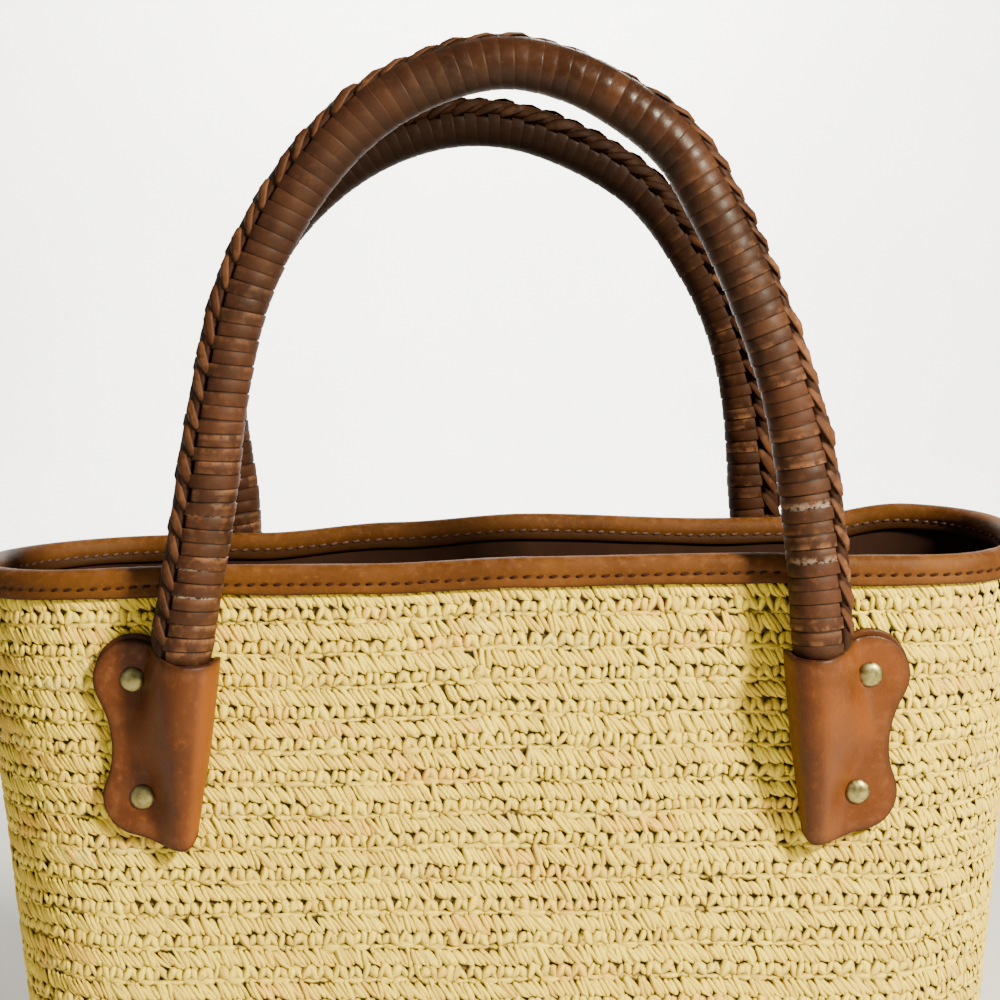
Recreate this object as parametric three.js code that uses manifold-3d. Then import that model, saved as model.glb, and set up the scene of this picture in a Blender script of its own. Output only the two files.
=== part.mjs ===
// Woven raffia satchel: a crocheted body with a cloth lining, a leather binding round the mouth, and
// two stiff handles wound with leather lace, each held by two folded leather tabs with brass rivets.
// Millimetres, +Z up. The origin is the middle of the base, on the surface that the bag stands on.
// The front looks along -Y, and left and right are as seen from the front.
import * as THREE from 'three';
import { mergeVertices } from 'three/addons/utils/BufferGeometryUtils.js';
import Module from 'manifold-3d';

const wasm = await Module();
wasm.setup();

// Clearance between pieces that touch.
const GAP = 0.3;

// Height of the rim over the floor, and the thicknesses of what the bag is made of.
const RIM_HEIGHT = 270;
const RAFFIA = 3;
const LINING = 1;
const BINDING_LEATHER = 1.5;
const TAB_LEATHER = 2;

// The binding is a leather strip folded over the top edges of the body and the lining, which stand
// upright inside it from the edge's foot.
const BINDING_LEG = 6.5;
const BINDING_ROUND_STEPS = 4;
const EDGE_STACK = RAFFIA + GAP + LINING;
const BINDING_ROUND = EDGE_STACK / 2 + GAP + BINDING_LEATHER;
const WALL_TOP = RIM_HEIGHT - BINDING_ROUND;
const EDGE_FOOT = WALL_TOP - BINDING_LEG - RAFFIA;

// The upper panels are upright from this height to the rim, and carry the tabs.
const PANEL_FOOT = 165;
const PANEL_HALF_DEPTH = 57;
const MOUTH_HALF_WIDTH = 197;

// Plan outline of the body's outer surface from the base up: a rectangle with round corners.
const BODY_SECTIONS = [
  { height: 0, halfWidth: 158, halfDepth: 52, corner: 42 },
  { height: 3.5, halfWidth: 165, halfDepth: 59, corner: 49 },
  { height: 12, halfWidth: 169, halfDepth: 63, corner: 53 },
  { height: 45, halfWidth: 175, halfDepth: 65.5, corner: 56 },
  { height: 88, halfWidth: 181, halfDepth: 63.6, corner: 57 },
  { height: 128, halfWidth: 186, halfDepth: 59.4, corner: 56.5 },
  { height: PANEL_FOOT, halfWidth: 189.5, halfDepth: PANEL_HALF_DEPTH, corner: 55 },
  { height: EDGE_FOOT, halfWidth: MOUTH_HALF_WIDTH, halfDepth: PANEL_HALF_DEPTH, corner: 55 },
  { height: WALL_TOP, halfWidth: MOUTH_HALF_WIDTH, halfDepth: PANEL_HALF_DEPTH, corner: 55 },
];
const CORNER_STEPS = 7;
const LONG_SIDE_STEPS = 14;
const SHORT_SIDE_STEPS = 1;

// How far the rim rises or sags along the front and the back of the mouth, at shares of the
// mouth's half width from left (-1) to right (1). The waves die out at the panel's foot.
const RIM_WAVES = [
  { across: -1, front: -3.5, back: -3.5 },
  { across: -0.5, front: -1.1, back: -2.1 },
  { across: -0.22, front: -1.3, back: 1.8 },
  { across: 0.05, front: 0.6, back: 4.8 },
  { across: 0.45, front: 1.2, back: 2.1 },
  { across: 0.62, front: 0, back: 2.2 },
  { across: 0.85, front: -0.4, back: 8 },
  { across: 1, front: 0.5, back: 8 },
];

// Each handle is a round core wound with lace. Its centre line runs over the bag from the left
// tab to the right one: place across from the middle of the bag, and height over the rim.
const HANDLE_RADIUS = 8.7;
const HANDLE_ROUTES = {
  front: [
    { across: -99.8, rise: 20 },
    { across: -94, rise: 56 },
    { across: -84.8, rise: 93 },
    { across: -68.2, rise: 124 },
    { across: -46.5, rise: 148.5 },
    { across: -24, rise: 162 },
    { across: 2, rise: 168.3 },
    { across: 25, rise: 163.8 },
    { across: 46.5, rise: 151.8 },
    { across: 61.3, rise: 138.6 },
    { across: 71.3, rise: 122 },
    { across: 85.2, rise: 93 },
    { across: 98, rise: 56 },
    { across: 105, rise: 20 },
  ],
  back: [
    { across: -110.5, rise: 10 },
    { across: -114.5, rise: 50 },
    { across: -107.5, rise: 90 },
    { across: -86.7, rise: 125.6 },
    { across: -58, rise: 150.3 },
    { across: -27, rise: 162.8 },
    { across: 0, rise: 164.3 },
    { across: 26, rise: 157.3 },
    { across: 58.5, rise: 138.3 },
    { across: 79.2, rise: 112.2 },
    { across: 94.2, rise: 82.3 },
    { across: 103.2, rise: 42 },
    { across: 105.5, rise: 8 },
  ],
};
const HANDLE_STATIONS = 40;
const HANDLE_SIDES = 12;

// The feet of the handles stand at the mouths of the tabs' sleeves, and lean in towards the middle
// of the bag by these degrees.
const FOOT = { across: 109.6, rise: -35.6 };
const FOOT_LEANS = { front: { left: 7.3, right: 4.7 }, back: { left: 2, right: 4.7 } };

// The laced braid is a raised spine along the outer side of each handle. It turns towards the
// front of the bag by the angles below, in degrees, from the handle's left foot to its right.
const BRAID = { rise: 3.6, edgeShare: 0.4, halfAngle: 31, steps: 3, aboveSleeve: 6 };
const BRAID_TURNS = [
  { along: 0, front: 20, back: 10 },
  { along: 0.22, front: 15, back: 14 },
  { along: 0.36, front: 4, back: 20 },
  { along: 0.46, front: -22, back: 27 },
  { along: 0.56, front: -46, back: 35 },
  { along: 0.72, front: 16, back: 40 },
  { along: 0.85, front: 24, back: 32 },
  { along: 1, front: 36, back: 20 },
];

// Each tab is one piece of leather folded round the foot of a handle. Its two leaves make a flat
// flange with a lobe round each rivet, and the fold makes a sleeve that flattens downwards.
// Places on a tab: `out` away from the middle of the bag, `up` along the leg, from the sleeve's mouth.
const TAB_FLANGE = 2 * TAB_LEATHER;
const TAB_LOBE = 13.6;
const TAB_RIVETS = {
  upper: { out: 18.7, up: -7.4 },
  lower: { out: 11.1, up: -48.6 },
};
const TAB_REACH = 40;
const TAB_MOUTH = { foldUp: 2.9, dip: -3.5, dipOut: 6.8 };
const TAB_TIP = { out: -3.1, up: -68, corner: 7 };

// The sleeve from above its mouth down: the fold's outer edge, the height of its crest over the
// panel, and where its leaf meets the flat flange, which is further out between the rivets.
const SLEEVE_SECTIONS = [
  { up: 8, fold: -12.2, crest: 23, flat: 13.6 },
  { up: -12, fold: -12.1, crest: 22.2, flat: 13.8 },
  { up: -27, fold: -11.8, crest: 20.4, flat: 20 },
  { up: -42, fold: -10.8, crest: 17.4, flat: 6.3 },
  { up: -60, fold: -9.5, crest: 11.4, flat: 3 },
  { up: -73, fold: -8.8, crest: 7.4, flat: 1 },
];
const SLEEVE_ROUND_STEPS = 8;

// Inside the sleeve the handle tapers to a tail that follows the fold down.
const SLEEVE_AXIS = TAB_LEATHER + 2 * GAP + HANDLE_RADIUS;
const TAIL = { out: -2.6, up: -50, stand: 7.5, radius: 4.5 };

// A rivet has a domed cap on the tab and a flat cap inside the lining.
const RIVET = {
  capRadius: 4.4, capHeight: 1.7, capSteps: 3,
  shankRadius: 1.4, backRadius: 3.2, backHeight: 0.9, sides: 8,
};

const MATERIALS = {
  raffia: new THREE.MeshStandardMaterial({ color: 0xe6cd8e, roughness: 0.85, metalness: 0 }),
  cloth: new THREE.MeshStandardMaterial({ color: 0x4a2a1c, roughness: 0.9, metalness: 0 }),
  tanLeather: new THREE.MeshStandardMaterial({ color: 0x96562a, roughness: 0.5, metalness: 0 }),
  laceLeather: new THREE.MeshStandardMaterial({ color: 0x6e3c26, roughness: 0.45, metalness: 0 }),
  brass: new THREE.MeshStandardMaterial({ color: 0x9a8c58, roughness: 0.4, metalness: 1 }),
};

const { degToRad, lerp, smoothstep } = THREE.MathUtils;

// Value of a column at a place in a table whose rows are sorted by the key column, eased from row to row.
function easedColumn(rows, key, column, place) {
  const last = rows.length - 1;
  const upper = rows.findIndex((row, index) => index === last || (index > 0 && row[key] >= place));
  const from = rows[upper - 1];
  const to = rows[upper];
  return lerp(from[column], to[column], smoothstep(place, from[key], to[key]));
}

// Solids from geometry, and back

// A geometry with positions alone, shared vertices merged, and its faces pointing out.
function closedSurface(geometry) {
  const bare = geometry.clone();
  bare.deleteAttribute('normal');
  bare.deleteAttribute('uv');
  const merged = mergeVertices(bare, 1e-3);
  const positions = merged.getAttribute('position');
  const corners = [new THREE.Vector3(), new THREE.Vector3(), new THREE.Vector3()];
  const triangles = [];
  let volume = 0;
  for (let i = 0; i < merged.index.count; i += 3) {
    const [a, b, c] = [0, 1, 2].map((step) => merged.index.getX(i + step));
    if (a === b || b === c || c === a) continue;
    [a, b, c].forEach((vertex, step) => corners[step].fromBufferAttribute(positions, vertex));
    volume += corners[0].dot(corners[1].cross(corners[2]));
    triangles.push([a, b, c]);
  }
  const facing = volume > 0 ? triangles : triangles.map(([a, b, c]) => [a, c, b]);
  merged.setIndex(facing.flat());
  return merged;
}

function toSolid(geometry) {
  const surface = closedSurface(geometry);
  return new wasm.Manifold(new wasm.Mesh({
    numProp: 3,
    vertProperties: surface.getAttribute('position').array,
    triVerts: new Uint32Array(surface.index.array),
  }));
}

function toGeometry(solid) {
  const mesh = solid.getMesh();
  const geometry = new THREE.BufferGeometry();
  geometry.setAttribute('position', new THREE.BufferAttribute(mesh.vertProperties, mesh.numProp));
  geometry.setIndex(new THREE.BufferAttribute(mesh.triVerts, 1));
  geometry.computeVertexNormals();
  return geometry;
}

// A closed surface through rings of points. A closed loop joins its last ring to its first,
// and otherwise a fan of triangles closes each end.
function loft(rings, closedLoop = false) {
  const count = rings[0].length;
  const points = rings.flat();
  const triangles = [];
  const bands = closedLoop ? rings.length : rings.length - 1;
  for (let ring = 0; ring < bands; ring++) {
    const near = ring * count;
    const far = ((ring + 1) % rings.length) * count;
    for (let i = 0; i < count; i++) {
      const next = (i + 1) % count;
      triangles.push(near + i, near + next, far + next);
      triangles.push(near + i, far + next, far + i);
    }
  }
  const ends = closedLoop ? [] : [0, rings.length - 1];
  for (const ring of ends) {
    const middle = new THREE.Vector3();
    rings[ring].forEach((point) => middle.addScaledVector(point, 1 / count));
    const centre = points.push(middle) - 1;
    for (let i = 0; i < count; i++) {
      const edge = [ring * count + i, ring * count + ((i + 1) % count)];
      triangles.push(centre, ...(ring === 0 ? edge.reverse() : edge));
    }
  }
  const geometry = new THREE.BufferGeometry().setFromPoints(points);
  geometry.setIndex(triangles);
  return closedSurface(geometry);
}

// Body, lining and binding

// Points and outward directions round a plan outline, anticlockwise from the front right corner.
function planOutline({ halfWidth, halfDepth, corner }) {
  const flatX = halfWidth - corner;
  const flatY = halfDepth - corner;
  const corners = [
    { x: flatX, y: -flatY, start: -90, sideSteps: SHORT_SIDE_STEPS },
    { x: flatX, y: flatY, start: 0, sideSteps: LONG_SIDE_STEPS },
    { x: -flatX, y: flatY, start: 90, sideSteps: SHORT_SIDE_STEPS },
    { x: -flatX, y: -flatY, start: 180, sideSteps: LONG_SIDE_STEPS },
  ];
  const outline = [];
  corners.forEach(({ x, y, start, sideSteps }, index) => {
    for (let step = 0; step <= CORNER_STEPS; step++) {
      const angle = degToRad(start + (90 * step) / CORNER_STEPS);
      const outward = new THREE.Vector2(Math.cos(angle), Math.sin(angle));
      outline.push({ point: new THREE.Vector2(x, y).addScaledVector(outward, corner), outward });
    }
    const following = corners[(index + 1) % corners.length];
    const { point, outward } = outline[outline.length - 1];
    const sideEnd = new THREE.Vector2(following.x, following.y).addScaledVector(outward, corner);
    for (let step = 1; step < sideSteps; step++) {
      outline.push({ point: point.clone().lerp(sideEnd, step / sideSteps), outward });
    }
  });
  return outline;
}

// Rise of the rim over its even height at a plan position.
function rimRise(x, y) {
  const across = x / MOUTH_HALF_WIDTH;
  const front = easedColumn(RIM_WAVES, 'across', 'front', across);
  const back = easedColumn(RIM_WAVES, 'across', 'back', across);
  return lerp(front, back, smoothstep(y, -PANEL_HALF_DEPTH, PANEL_HALF_DEPTH));
}

// Rings of one face of the wall from the floor up, moved in from the body's outer surface.
// An inner face has a plain floor at its own height in place of the body's rounded heel.
function wallRings(inset, floor) {
  const [base, , ...upper] = BODY_SECTIONS;
  const sections = inset === 0
    ? BODY_SECTIONS.map((section) => ({ ...section, inset }))
    : [{ ...base, height: floor, inset: inset - RAFFIA }, ...upper.map((section) => ({ ...section, inset }))];
  return sections.map((section) => {
    const wave = smoothstep(section.height, PANEL_FOOT, WALL_TOP);
    return planOutline(section).map(({ point, outward }) => {
      const place = point.clone().addScaledVector(outward, -section.inset);
      return new THREE.Vector3(place.x, place.y, section.height + wave * rimRise(point.x, point.y));
    });
  });
}

// An open cup between two faces of the wall.
function cup(outerInset, thickness, outerFloor) {
  const outer = wallRings(outerInset, outerFloor);
  const inner = wallRings(outerInset + thickness, outerFloor + thickness);
  return loft([...outer, ...inner.reverse()]);
}

// Section of the binding: outward from the body's outer face, and up from the wall's top edge.
function bindingSection() {
  const middle = -EDGE_STACK / 2;
  const outer = GAP + BINDING_LEATHER;
  const inner = -EDGE_STACK - outer;
  const section = [{ out: GAP, up: -BINDING_LEG }, { out: outer, up: -BINDING_LEG }];
  for (let step = 0; step <= BINDING_ROUND_STEPS; step++) {
    const angle = (Math.PI * step) / BINDING_ROUND_STEPS;
    section.push({ out: middle + BINDING_ROUND * Math.cos(angle), up: BINDING_ROUND * Math.sin(angle) });
  }
  section.push({ out: inner, up: -BINDING_LEG }, { out: inner + BINDING_LEATHER, up: -BINDING_LEG });
  section.push({ out: inner + BINDING_LEATHER, up: GAP }, { out: GAP, up: GAP });
  return section;
}

function rimBinding() {
  const mouth = planOutline(BODY_SECTIONS[BODY_SECTIONS.length - 1]);
  const section = bindingSection();
  const rings = mouth.map(({ point, outward }) => section.map(({ out, up }) => {
    const place = point.clone().addScaledVector(outward, out);
    return new THREE.Vector3(place.x, place.y, WALL_TOP + rimRise(point.x, point.y) + up);
  }));
  return loft(rings, true);
}

// Feet, handles and braids

const SIDES = { front: 1, back: -1 };
const HANDS = { left: -1, right: 1 };

// Frame of a tab: x out along the flange, -y away from the panel, z up the leg. It is made for the
// front right of the bag and mirrored for the other feet.
function footMatrix(side, hand) {
  const lean = new THREE.Matrix4()
    .makeRotationY(-degToRad(FOOT_LEANS[side][hand]))
    .setPosition(FOOT.across, -(PANEL_HALF_DEPTH + GAP), RIM_HEIGHT + FOOT.rise);
  return new THREE.Matrix4().makeScale(HANDS[hand], SIDES[side], 1).multiply(lean);
}

// The handle's centre line from its left tail over the arch to its right tail.
function handleCurve(side) {
  const mouth = new THREE.Vector3(0, -SLEEVE_AXIS, 0);
  const tail = new THREE.Vector3(TAIL.out, -TAIL.stand, TAIL.up);
  const [left, right] = Object.keys(HANDS).map((hand) => footMatrix(side, hand));
  const axis = -SIDES[side] * (PANEL_HALF_DEPTH + GAP + SLEEVE_AXIS);
  return new THREE.CatmullRomCurve3([
    tail.clone().applyMatrix4(left),
    mouth.clone().applyMatrix4(left),
    ...HANDLE_ROUTES[side].map(({ across, rise }) => new THREE.Vector3(across, axis, RIM_HEIGHT + rise)),
    mouth.clone().applyMatrix4(right),
    tail.clone().applyMatrix4(right),
  ]);
}

const FORWARD = new THREE.Vector3(0, -1, 0);

// Place, axes and radius at a share of the centre line's length.
function handleStation(curve, share) {
  const centre = curve.getPointAt(share);
  const along = curve.getTangentAt(share);
  const outward = new THREE.Vector3().crossVectors(FORWARD, along).normalize();
  const front = new THREE.Vector3().crossVectors(along, outward);
  const rise = centre.z - RIM_HEIGHT;
  const depth = THREE.MathUtils.clamp((FOOT.rise - rise) / -TAIL.up, 0, 1);
  return { centre, outward, front, rise, radius: lerp(HANDLE_RADIUS, TAIL.radius, depth) };
}

// A point at an angle from the outer side towards the front.
function roundPoint({ centre, outward, front }, angle, radius) {
  return centre.clone()
    .addScaledVector(outward, radius * Math.cos(angle))
    .addScaledVector(front, radius * Math.sin(angle));
}

function stationShares() {
  return Array.from({ length: HANDLE_STATIONS + 1 }, (_, index) => index / HANDLE_STATIONS);
}

function handleGeometry(curve, extraRadius = 0) {
  const rings = stationShares().map((share) => {
    const station = handleStation(curve, share);
    return Array.from({ length: HANDLE_SIDES }, (_, side) => {
      const angle = (2 * Math.PI * side) / HANDLE_SIDES;
      return roundPoint(station, angle, station.radius + extraRadius);
    });
  });
  return loft(rings);
}

function braidGeometry(curve, side) {
  const stations = stationShares()
    .map((share) => ({ share, ...handleStation(curve, share) }))
    .filter(({ rise }) => rise > FOOT.rise + BRAID.aboveSleeve);
  const first = stations[0].share;
  const length = stations[stations.length - 1].share - first;
  // The flat facets under the braid sag by this much between their edges.
  const sag = HANDLE_RADIUS * (1 - Math.cos(degToRad(BRAID.halfAngle / BRAID.steps)));
  const rings = stations.map((station) => {
    const middle = easedColumn(BRAID_TURNS, 'along', side, (station.share - first) / length);
    const under = [];
    const over = [];
    for (let step = 0; step <= BRAID.steps; step++) {
      const share = lerp(-1, 1, step / BRAID.steps);
      const angle = degToRad(middle + BRAID.halfAngle * share);
      const crown = BRAID.rise * lerp(1, BRAID.edgeShare, share * share);
      under.push(roundPoint(station, angle, HANDLE_RADIUS + GAP + sag));
      over.push(roundPoint(station, angle, HANDLE_RADIUS + GAP + sag + crown));
    }
    return [...under, ...over.reverse()];
  });
  return loft(rings);
}

// Tabs and rivets

// Outline of a tab's leaves. It runs past the fold's side, where the sleeve makes the edge.
function tabOutline() {
  const { upper, lower } = TAB_RIVETS;
  const onLobe = (rivet, degrees, radius = TAB_LOBE) => new THREE.Vector2(
    rivet.out + radius * Math.cos(degToRad(degrees)),
    rivet.up + radius * Math.sin(degToRad(degrees)),
  );
  const lobes = { upperStart: 122, upperEnd: -35, lowerStart: 18, lowerEnd: -68 };
  const mouthEnd = onLobe(upper, lobes.upperStart);
  const waistStart = onLobe(upper, lobes.upperEnd);
  const waistEnd = onLobe(lower, lobes.lowerStart);
  // The waist leaves one lobe and joins the other along their tangents.
  const tangent = (degrees) => new THREE.Vector2(Math.sin(degToRad(degrees)), -Math.cos(degToRad(degrees)));
  const waistFrom = waistStart.clone().addScaledVector(tangent(lobes.upperEnd), TAB_LOBE);
  const waistTo = waistEnd.clone().addScaledVector(tangent(lobes.lowerStart), -TAB_LOBE / 2);
  const shape = new THREE.Shape();
  shape.moveTo(-TAB_REACH, TAB_MOUTH.foldUp);
  shape.lineTo(SLEEVE_SECTIONS[0].fold, TAB_MOUTH.foldUp);
  shape.bezierCurveTo(
    -TAB_MOUTH.dipOut, TAB_MOUTH.dip, TAB_MOUTH.dipOut, TAB_MOUTH.dip, mouthEnd.x, mouthEnd.y,
  );
  shape.absarc(upper.out, upper.up, TAB_LOBE, degToRad(lobes.upperStart), degToRad(lobes.upperEnd), true);
  shape.bezierCurveTo(waistFrom.x, waistFrom.y, waistTo.x, waistTo.y, waistEnd.x, waistEnd.y);
  shape.absarc(lower.out, lower.up, TAB_LOBE, degToRad(lobes.lowerStart), degToRad(lobes.lowerEnd), true);
  shape.lineTo(TAB_TIP.out + TAB_TIP.corner / 2, TAB_TIP.up);
  shape.quadraticCurveTo(
    TAB_TIP.out - TAB_TIP.corner, TAB_TIP.up, TAB_TIP.out - TAB_TIP.corner, TAB_TIP.up + TAB_TIP.corner,
  );
  shape.lineTo(-TAB_REACH, TAB_TIP.up + TAB_TIP.corner);
  shape.closePath();
  return shape;
}

// One section of the sleeve: a circle that rests on the panel, with a leaf running down to the flange.
function sleeveRing({ up, fold, crest, flat }) {
  const radius = crest / 2;
  const centre = fold + radius;
  // The leaf leaves the circle where it points at the flange's edge.
  const toFlange = Math.hypot(flat - centre, TAB_FLANGE - radius);
  const bearing = Math.atan2(TAB_FLANGE - radius, flat - centre);
  const start = bearing + Math.acos(Math.min(1, radius / toFlange));
  const end = 1.5 * Math.PI;
  const ring = [
    new THREE.Vector3(flat, 0, up),
    new THREE.Vector3(flat, -TAB_FLANGE, up),
  ];
  for (let step = 0; step <= SLEEVE_ROUND_STEPS; step++) {
    const angle = lerp(start, end, step / SLEEVE_ROUND_STEPS);
    ring.push(new THREE.Vector3(
      centre + radius * Math.cos(angle), -(radius + radius * Math.sin(angle)), up,
    ));
  }
  return ring;
}

// The folded leather in its own frame, before it is cut for the handle and the rivets.
function foldedTab() {
  const outline = new THREE.ExtrudeGeometry(tabOutline(), {
    depth: TAB_REACH, bevelEnabled: false, curveSegments: 4,
  });
  outline.rotateX(Math.PI / 2);
  // The flange starts under the sleeve's middle.
  const slabHeight = 2 * (TAB_LOBE - TAB_TIP.up);
  const slab = new THREE.BoxGeometry(TAB_REACH, TAB_FLANGE, slabHeight);
  slab.translate(TAB_REACH / 2, -TAB_FLANGE / 2, 0);
  const leather = toSolid(loft(SLEEVE_SECTIONS.map(sleeveRing))).add(toSolid(slab));
  return toGeometry(leather.intersect(toSolid(outline)));
}

// The rivets of one tab, at the tab's back.
function rivetPlaces(side, hand) {
  const matrix = footMatrix(side, hand);
  return Object.entries(TAB_RIVETS).map(([level, { out, up }]) => ({
    level,
    place: new THREE.Vector3(out, 0, up).applyMatrix4(matrix),
  }));
}

// A solid with the holes of one tab's rivets cut through it.
function withRivetHoles(solid, side, hand) {
  return rivetPlaces(side, hand).reduce((cut, { place }) => {
    const radius = RIVET.shankRadius + GAP;
    const hole = new THREE.CylinderGeometry(radius, radius, TAB_REACH, RIVET.sides);
    return cut.subtract(toSolid(hole.translate(place.x, place.y, place.z)));
  }, solid);
}

function tabGeometry(folded, curve, side, hand) {
  const placed = toSolid(folded.clone().applyMatrix4(footMatrix(side, hand)));
  const sleeve = placed.subtract(toSolid(handleGeometry(curve, 2 * GAP)));
  return toGeometry(withRivetHoles(sleeve, side, hand));
}

// A rivet along Y through the tab, the body and the lining, with its cap at the front.
function rivetGeometry() {
  const seat = -(TAB_FLANGE + GAP);
  const back = GAP + EDGE_STACK + GAP;
  const profile = [];
  for (let step = 0; step <= RIVET.capSteps; step++) {
    const angle = (Math.PI / 2) * (step / RIVET.capSteps);
    profile.push(new THREE.Vector2(
      RIVET.capRadius * Math.sin(angle), seat - RIVET.capHeight * Math.cos(angle),
    ));
  }
  profile.push(new THREE.Vector2(RIVET.shankRadius, seat));
  profile.push(new THREE.Vector2(RIVET.shankRadius, back));
  profile.push(new THREE.Vector2(RIVET.backRadius, back));
  profile.push(new THREE.Vector2(RIVET.backRadius, back + RIVET.backHeight));
  profile.push(new THREE.Vector2(0, back + RIVET.backHeight));
  return closedSurface(new THREE.LatheGeometry(profile, RIVET.sides));
}

// Assembly

const satchel = new THREE.Group();

function addPiece(parent, name, geometry, material) {
  const piece = new THREE.Mesh(geometry, material);
  piece.name = name;
  parent.add(piece);
  return piece;
}

// A wall with the holes of all the rivets.
function drilledWall(geometry) {
  let wall = toSolid(geometry);
  for (const side of Object.keys(SIDES)) {
    for (const hand of Object.keys(HANDS)) {
      wall = withRivetHoles(wall, side, hand);
    }
  }
  return toGeometry(wall);
}

addPiece(satchel, 'body_shell', drilledWall(cup(0, RAFFIA, 0)), MATERIALS.raffia);
addPiece(satchel, 'lining', drilledWall(cup(RAFFIA + GAP, LINING, RAFFIA + GAP)), MATERIALS.cloth);
addPiece(satchel, 'rim_binding', rimBinding(), MATERIALS.tanLeather);

const folded = foldedTab();
const rivet = rivetGeometry();

for (const side of Object.keys(SIDES)) {
  const carried = new THREE.Group();
  satchel.add(carried);
  const curve = handleCurve(side);
  addPiece(carried, `handle_${side}`, handleGeometry(curve), MATERIALS.laceLeather);
  addPiece(carried, `braid_${side}`, braidGeometry(curve, side), MATERIALS.laceLeather);
  for (const hand of Object.keys(HANDS)) {
    addPiece(carried, `tab_${side}_${hand}`, tabGeometry(folded, curve, side, hand), MATERIALS.tanLeather);
    for (const { level, place } of rivetPlaces(side, hand)) {
      const rivetPiece = addPiece(carried, `rivet_${side}_${hand}_${level}`, rivet, MATERIALS.brass);
      rivetPiece.position.copy(place);
      rivetPiece.rotation.z = side === 'front' ? 0 : Math.PI;
    }
  }
}

export default satchel;
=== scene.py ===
"""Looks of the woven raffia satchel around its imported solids: crocheted strands, cloth lining, stitched
rim, lace-wound handles with a braided spine, folded leather tabs and brass rivets.
Sizes here are in millimetres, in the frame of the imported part, and become metres when a mesh is made."""

import math

import bpy
import numpy as np
from mathutils import Matrix, Vector


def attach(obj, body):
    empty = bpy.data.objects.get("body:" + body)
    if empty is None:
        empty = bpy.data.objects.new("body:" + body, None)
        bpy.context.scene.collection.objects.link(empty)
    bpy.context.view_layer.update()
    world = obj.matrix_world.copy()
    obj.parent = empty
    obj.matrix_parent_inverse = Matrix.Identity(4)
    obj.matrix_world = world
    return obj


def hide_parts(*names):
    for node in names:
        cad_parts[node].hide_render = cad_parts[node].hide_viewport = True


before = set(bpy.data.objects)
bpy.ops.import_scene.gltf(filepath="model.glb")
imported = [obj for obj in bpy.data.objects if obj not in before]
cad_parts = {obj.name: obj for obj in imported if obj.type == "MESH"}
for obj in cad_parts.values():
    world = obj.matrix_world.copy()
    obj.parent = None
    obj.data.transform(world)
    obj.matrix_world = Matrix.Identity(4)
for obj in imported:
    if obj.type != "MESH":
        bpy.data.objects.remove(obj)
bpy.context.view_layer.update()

MM = 0.001
UP = np.array([0, 0, 1.0])
random = np.random.default_rng(20)

# Sizes shared with the solids
GAP = 0.3
RIM_HEIGHT = 270.0
RAFFIA = 3.0
LINING = 1.0
BINDING_LEATHER = 1.5
BINDING_LEG = 6.5
EDGE_STACK = RAFFIA + GAP + LINING
BINDING_ROUND = EDGE_STACK / 2 + GAP + BINDING_LEATHER
WALL_TOP = RIM_HEIGHT - BINDING_ROUND
EDGE_FOOT = WALL_TOP - BINDING_LEG - RAFFIA
PANEL_FOOT = 165.0
PANEL_HALF_DEPTH = 57.0
MOUTH_HALF_WIDTH = 197.0

# Plan of the body by height: half width, half depth, corner radius
BODY_SECTIONS = np.array([
    (0, 158, 52, 42), (3.5, 165, 59, 49), (12, 169, 63, 53), (45, 175, 65.5, 56), (88, 181, 63.6, 57),
    (128, 186, 59.4, 56.5), (PANEL_FOOT, 189.5, PANEL_HALF_DEPTH, 55),
    (EDGE_FOOT, MOUTH_HALF_WIDTH, PANEL_HALF_DEPTH, 55), (WALL_TOP, MOUTH_HALF_WIDTH, PANEL_HALF_DEPTH, 55),
])

# Rise of the rim across the mouth: share of its half width, front, back
RIM_WAVES = np.array([
    (-1, -3.5, -3.5), (-0.5, -1.1, -2.1), (-0.22, -1.3, 1.8), (0.05, 0.6, 4.8),
    (0.45, 1.2, 2.1), (0.62, 0, 2.2), (0.85, -0.4, 8), (1, 0.5, 8),
])

# Centre lines of the handles from left to right: across, and rise over the rim
HANDLE_RADIUS = 8.7
HANDLE_ROUTES = {
    "front": [(-99.8, 20), (-94, 56), (-84.8, 93), (-68.2, 124), (-46.5, 148.5), (-24, 162), (2, 168.3),
              (25, 163.8), (46.5, 151.8), (61.3, 138.6), (71.3, 122), (85.2, 93), (98, 56), (105, 20)],
    "back": [(-110.5, 10), (-114.5, 50), (-107.5, 90), (-86.7, 125.6), (-58, 150.3), (-27, 162.8), (0, 164.3),
             (26, 157.3), (58.5, 138.3), (79.2, 112.2), (94.2, 82.3), (103.2, 42), (105.5, 8)],
}
FOOT_ACROSS = 109.6
FOOT_RISE = -35.6
FOOT_LEANS = {"front": {"left": 7.3, "right": 4.7}, "back": {"left": 2, "right": 4.7}}
SIDES = {"front": 1, "back": -1}
HANDS = {"left": -1, "right": 1}

# Turn of the braids towards the front: share of the length, front handle, back handle
BRAID_TURNS = np.array([
    (0, 12, 10), (0.22, 12, 14), (0.36, 3, 20), (0.46, -22, 27),
    (0.56, -46, 35), (0.66, -8, 38), (0.75, -16, 39), (0.81, 0, 36), (0.85, 2, 32), (1, 0, 20),
])
BRAID_HALF_ANGLE = 31.0

# Tabs, from the mouth of the sleeve: out away from the middle of the bag, up along the leg
TAB_LEATHER = 2.0
TAB_FLANGE = 2 * TAB_LEATHER
TAB_LOBE = 13.6
TAB_RIVETS = {"upper": (18.7, -7.4), "lower": (11.1, -48.6)}
SLEEVE_AXIS = TAB_LEATHER + 2 * GAP + HANDLE_RADIUS
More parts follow.
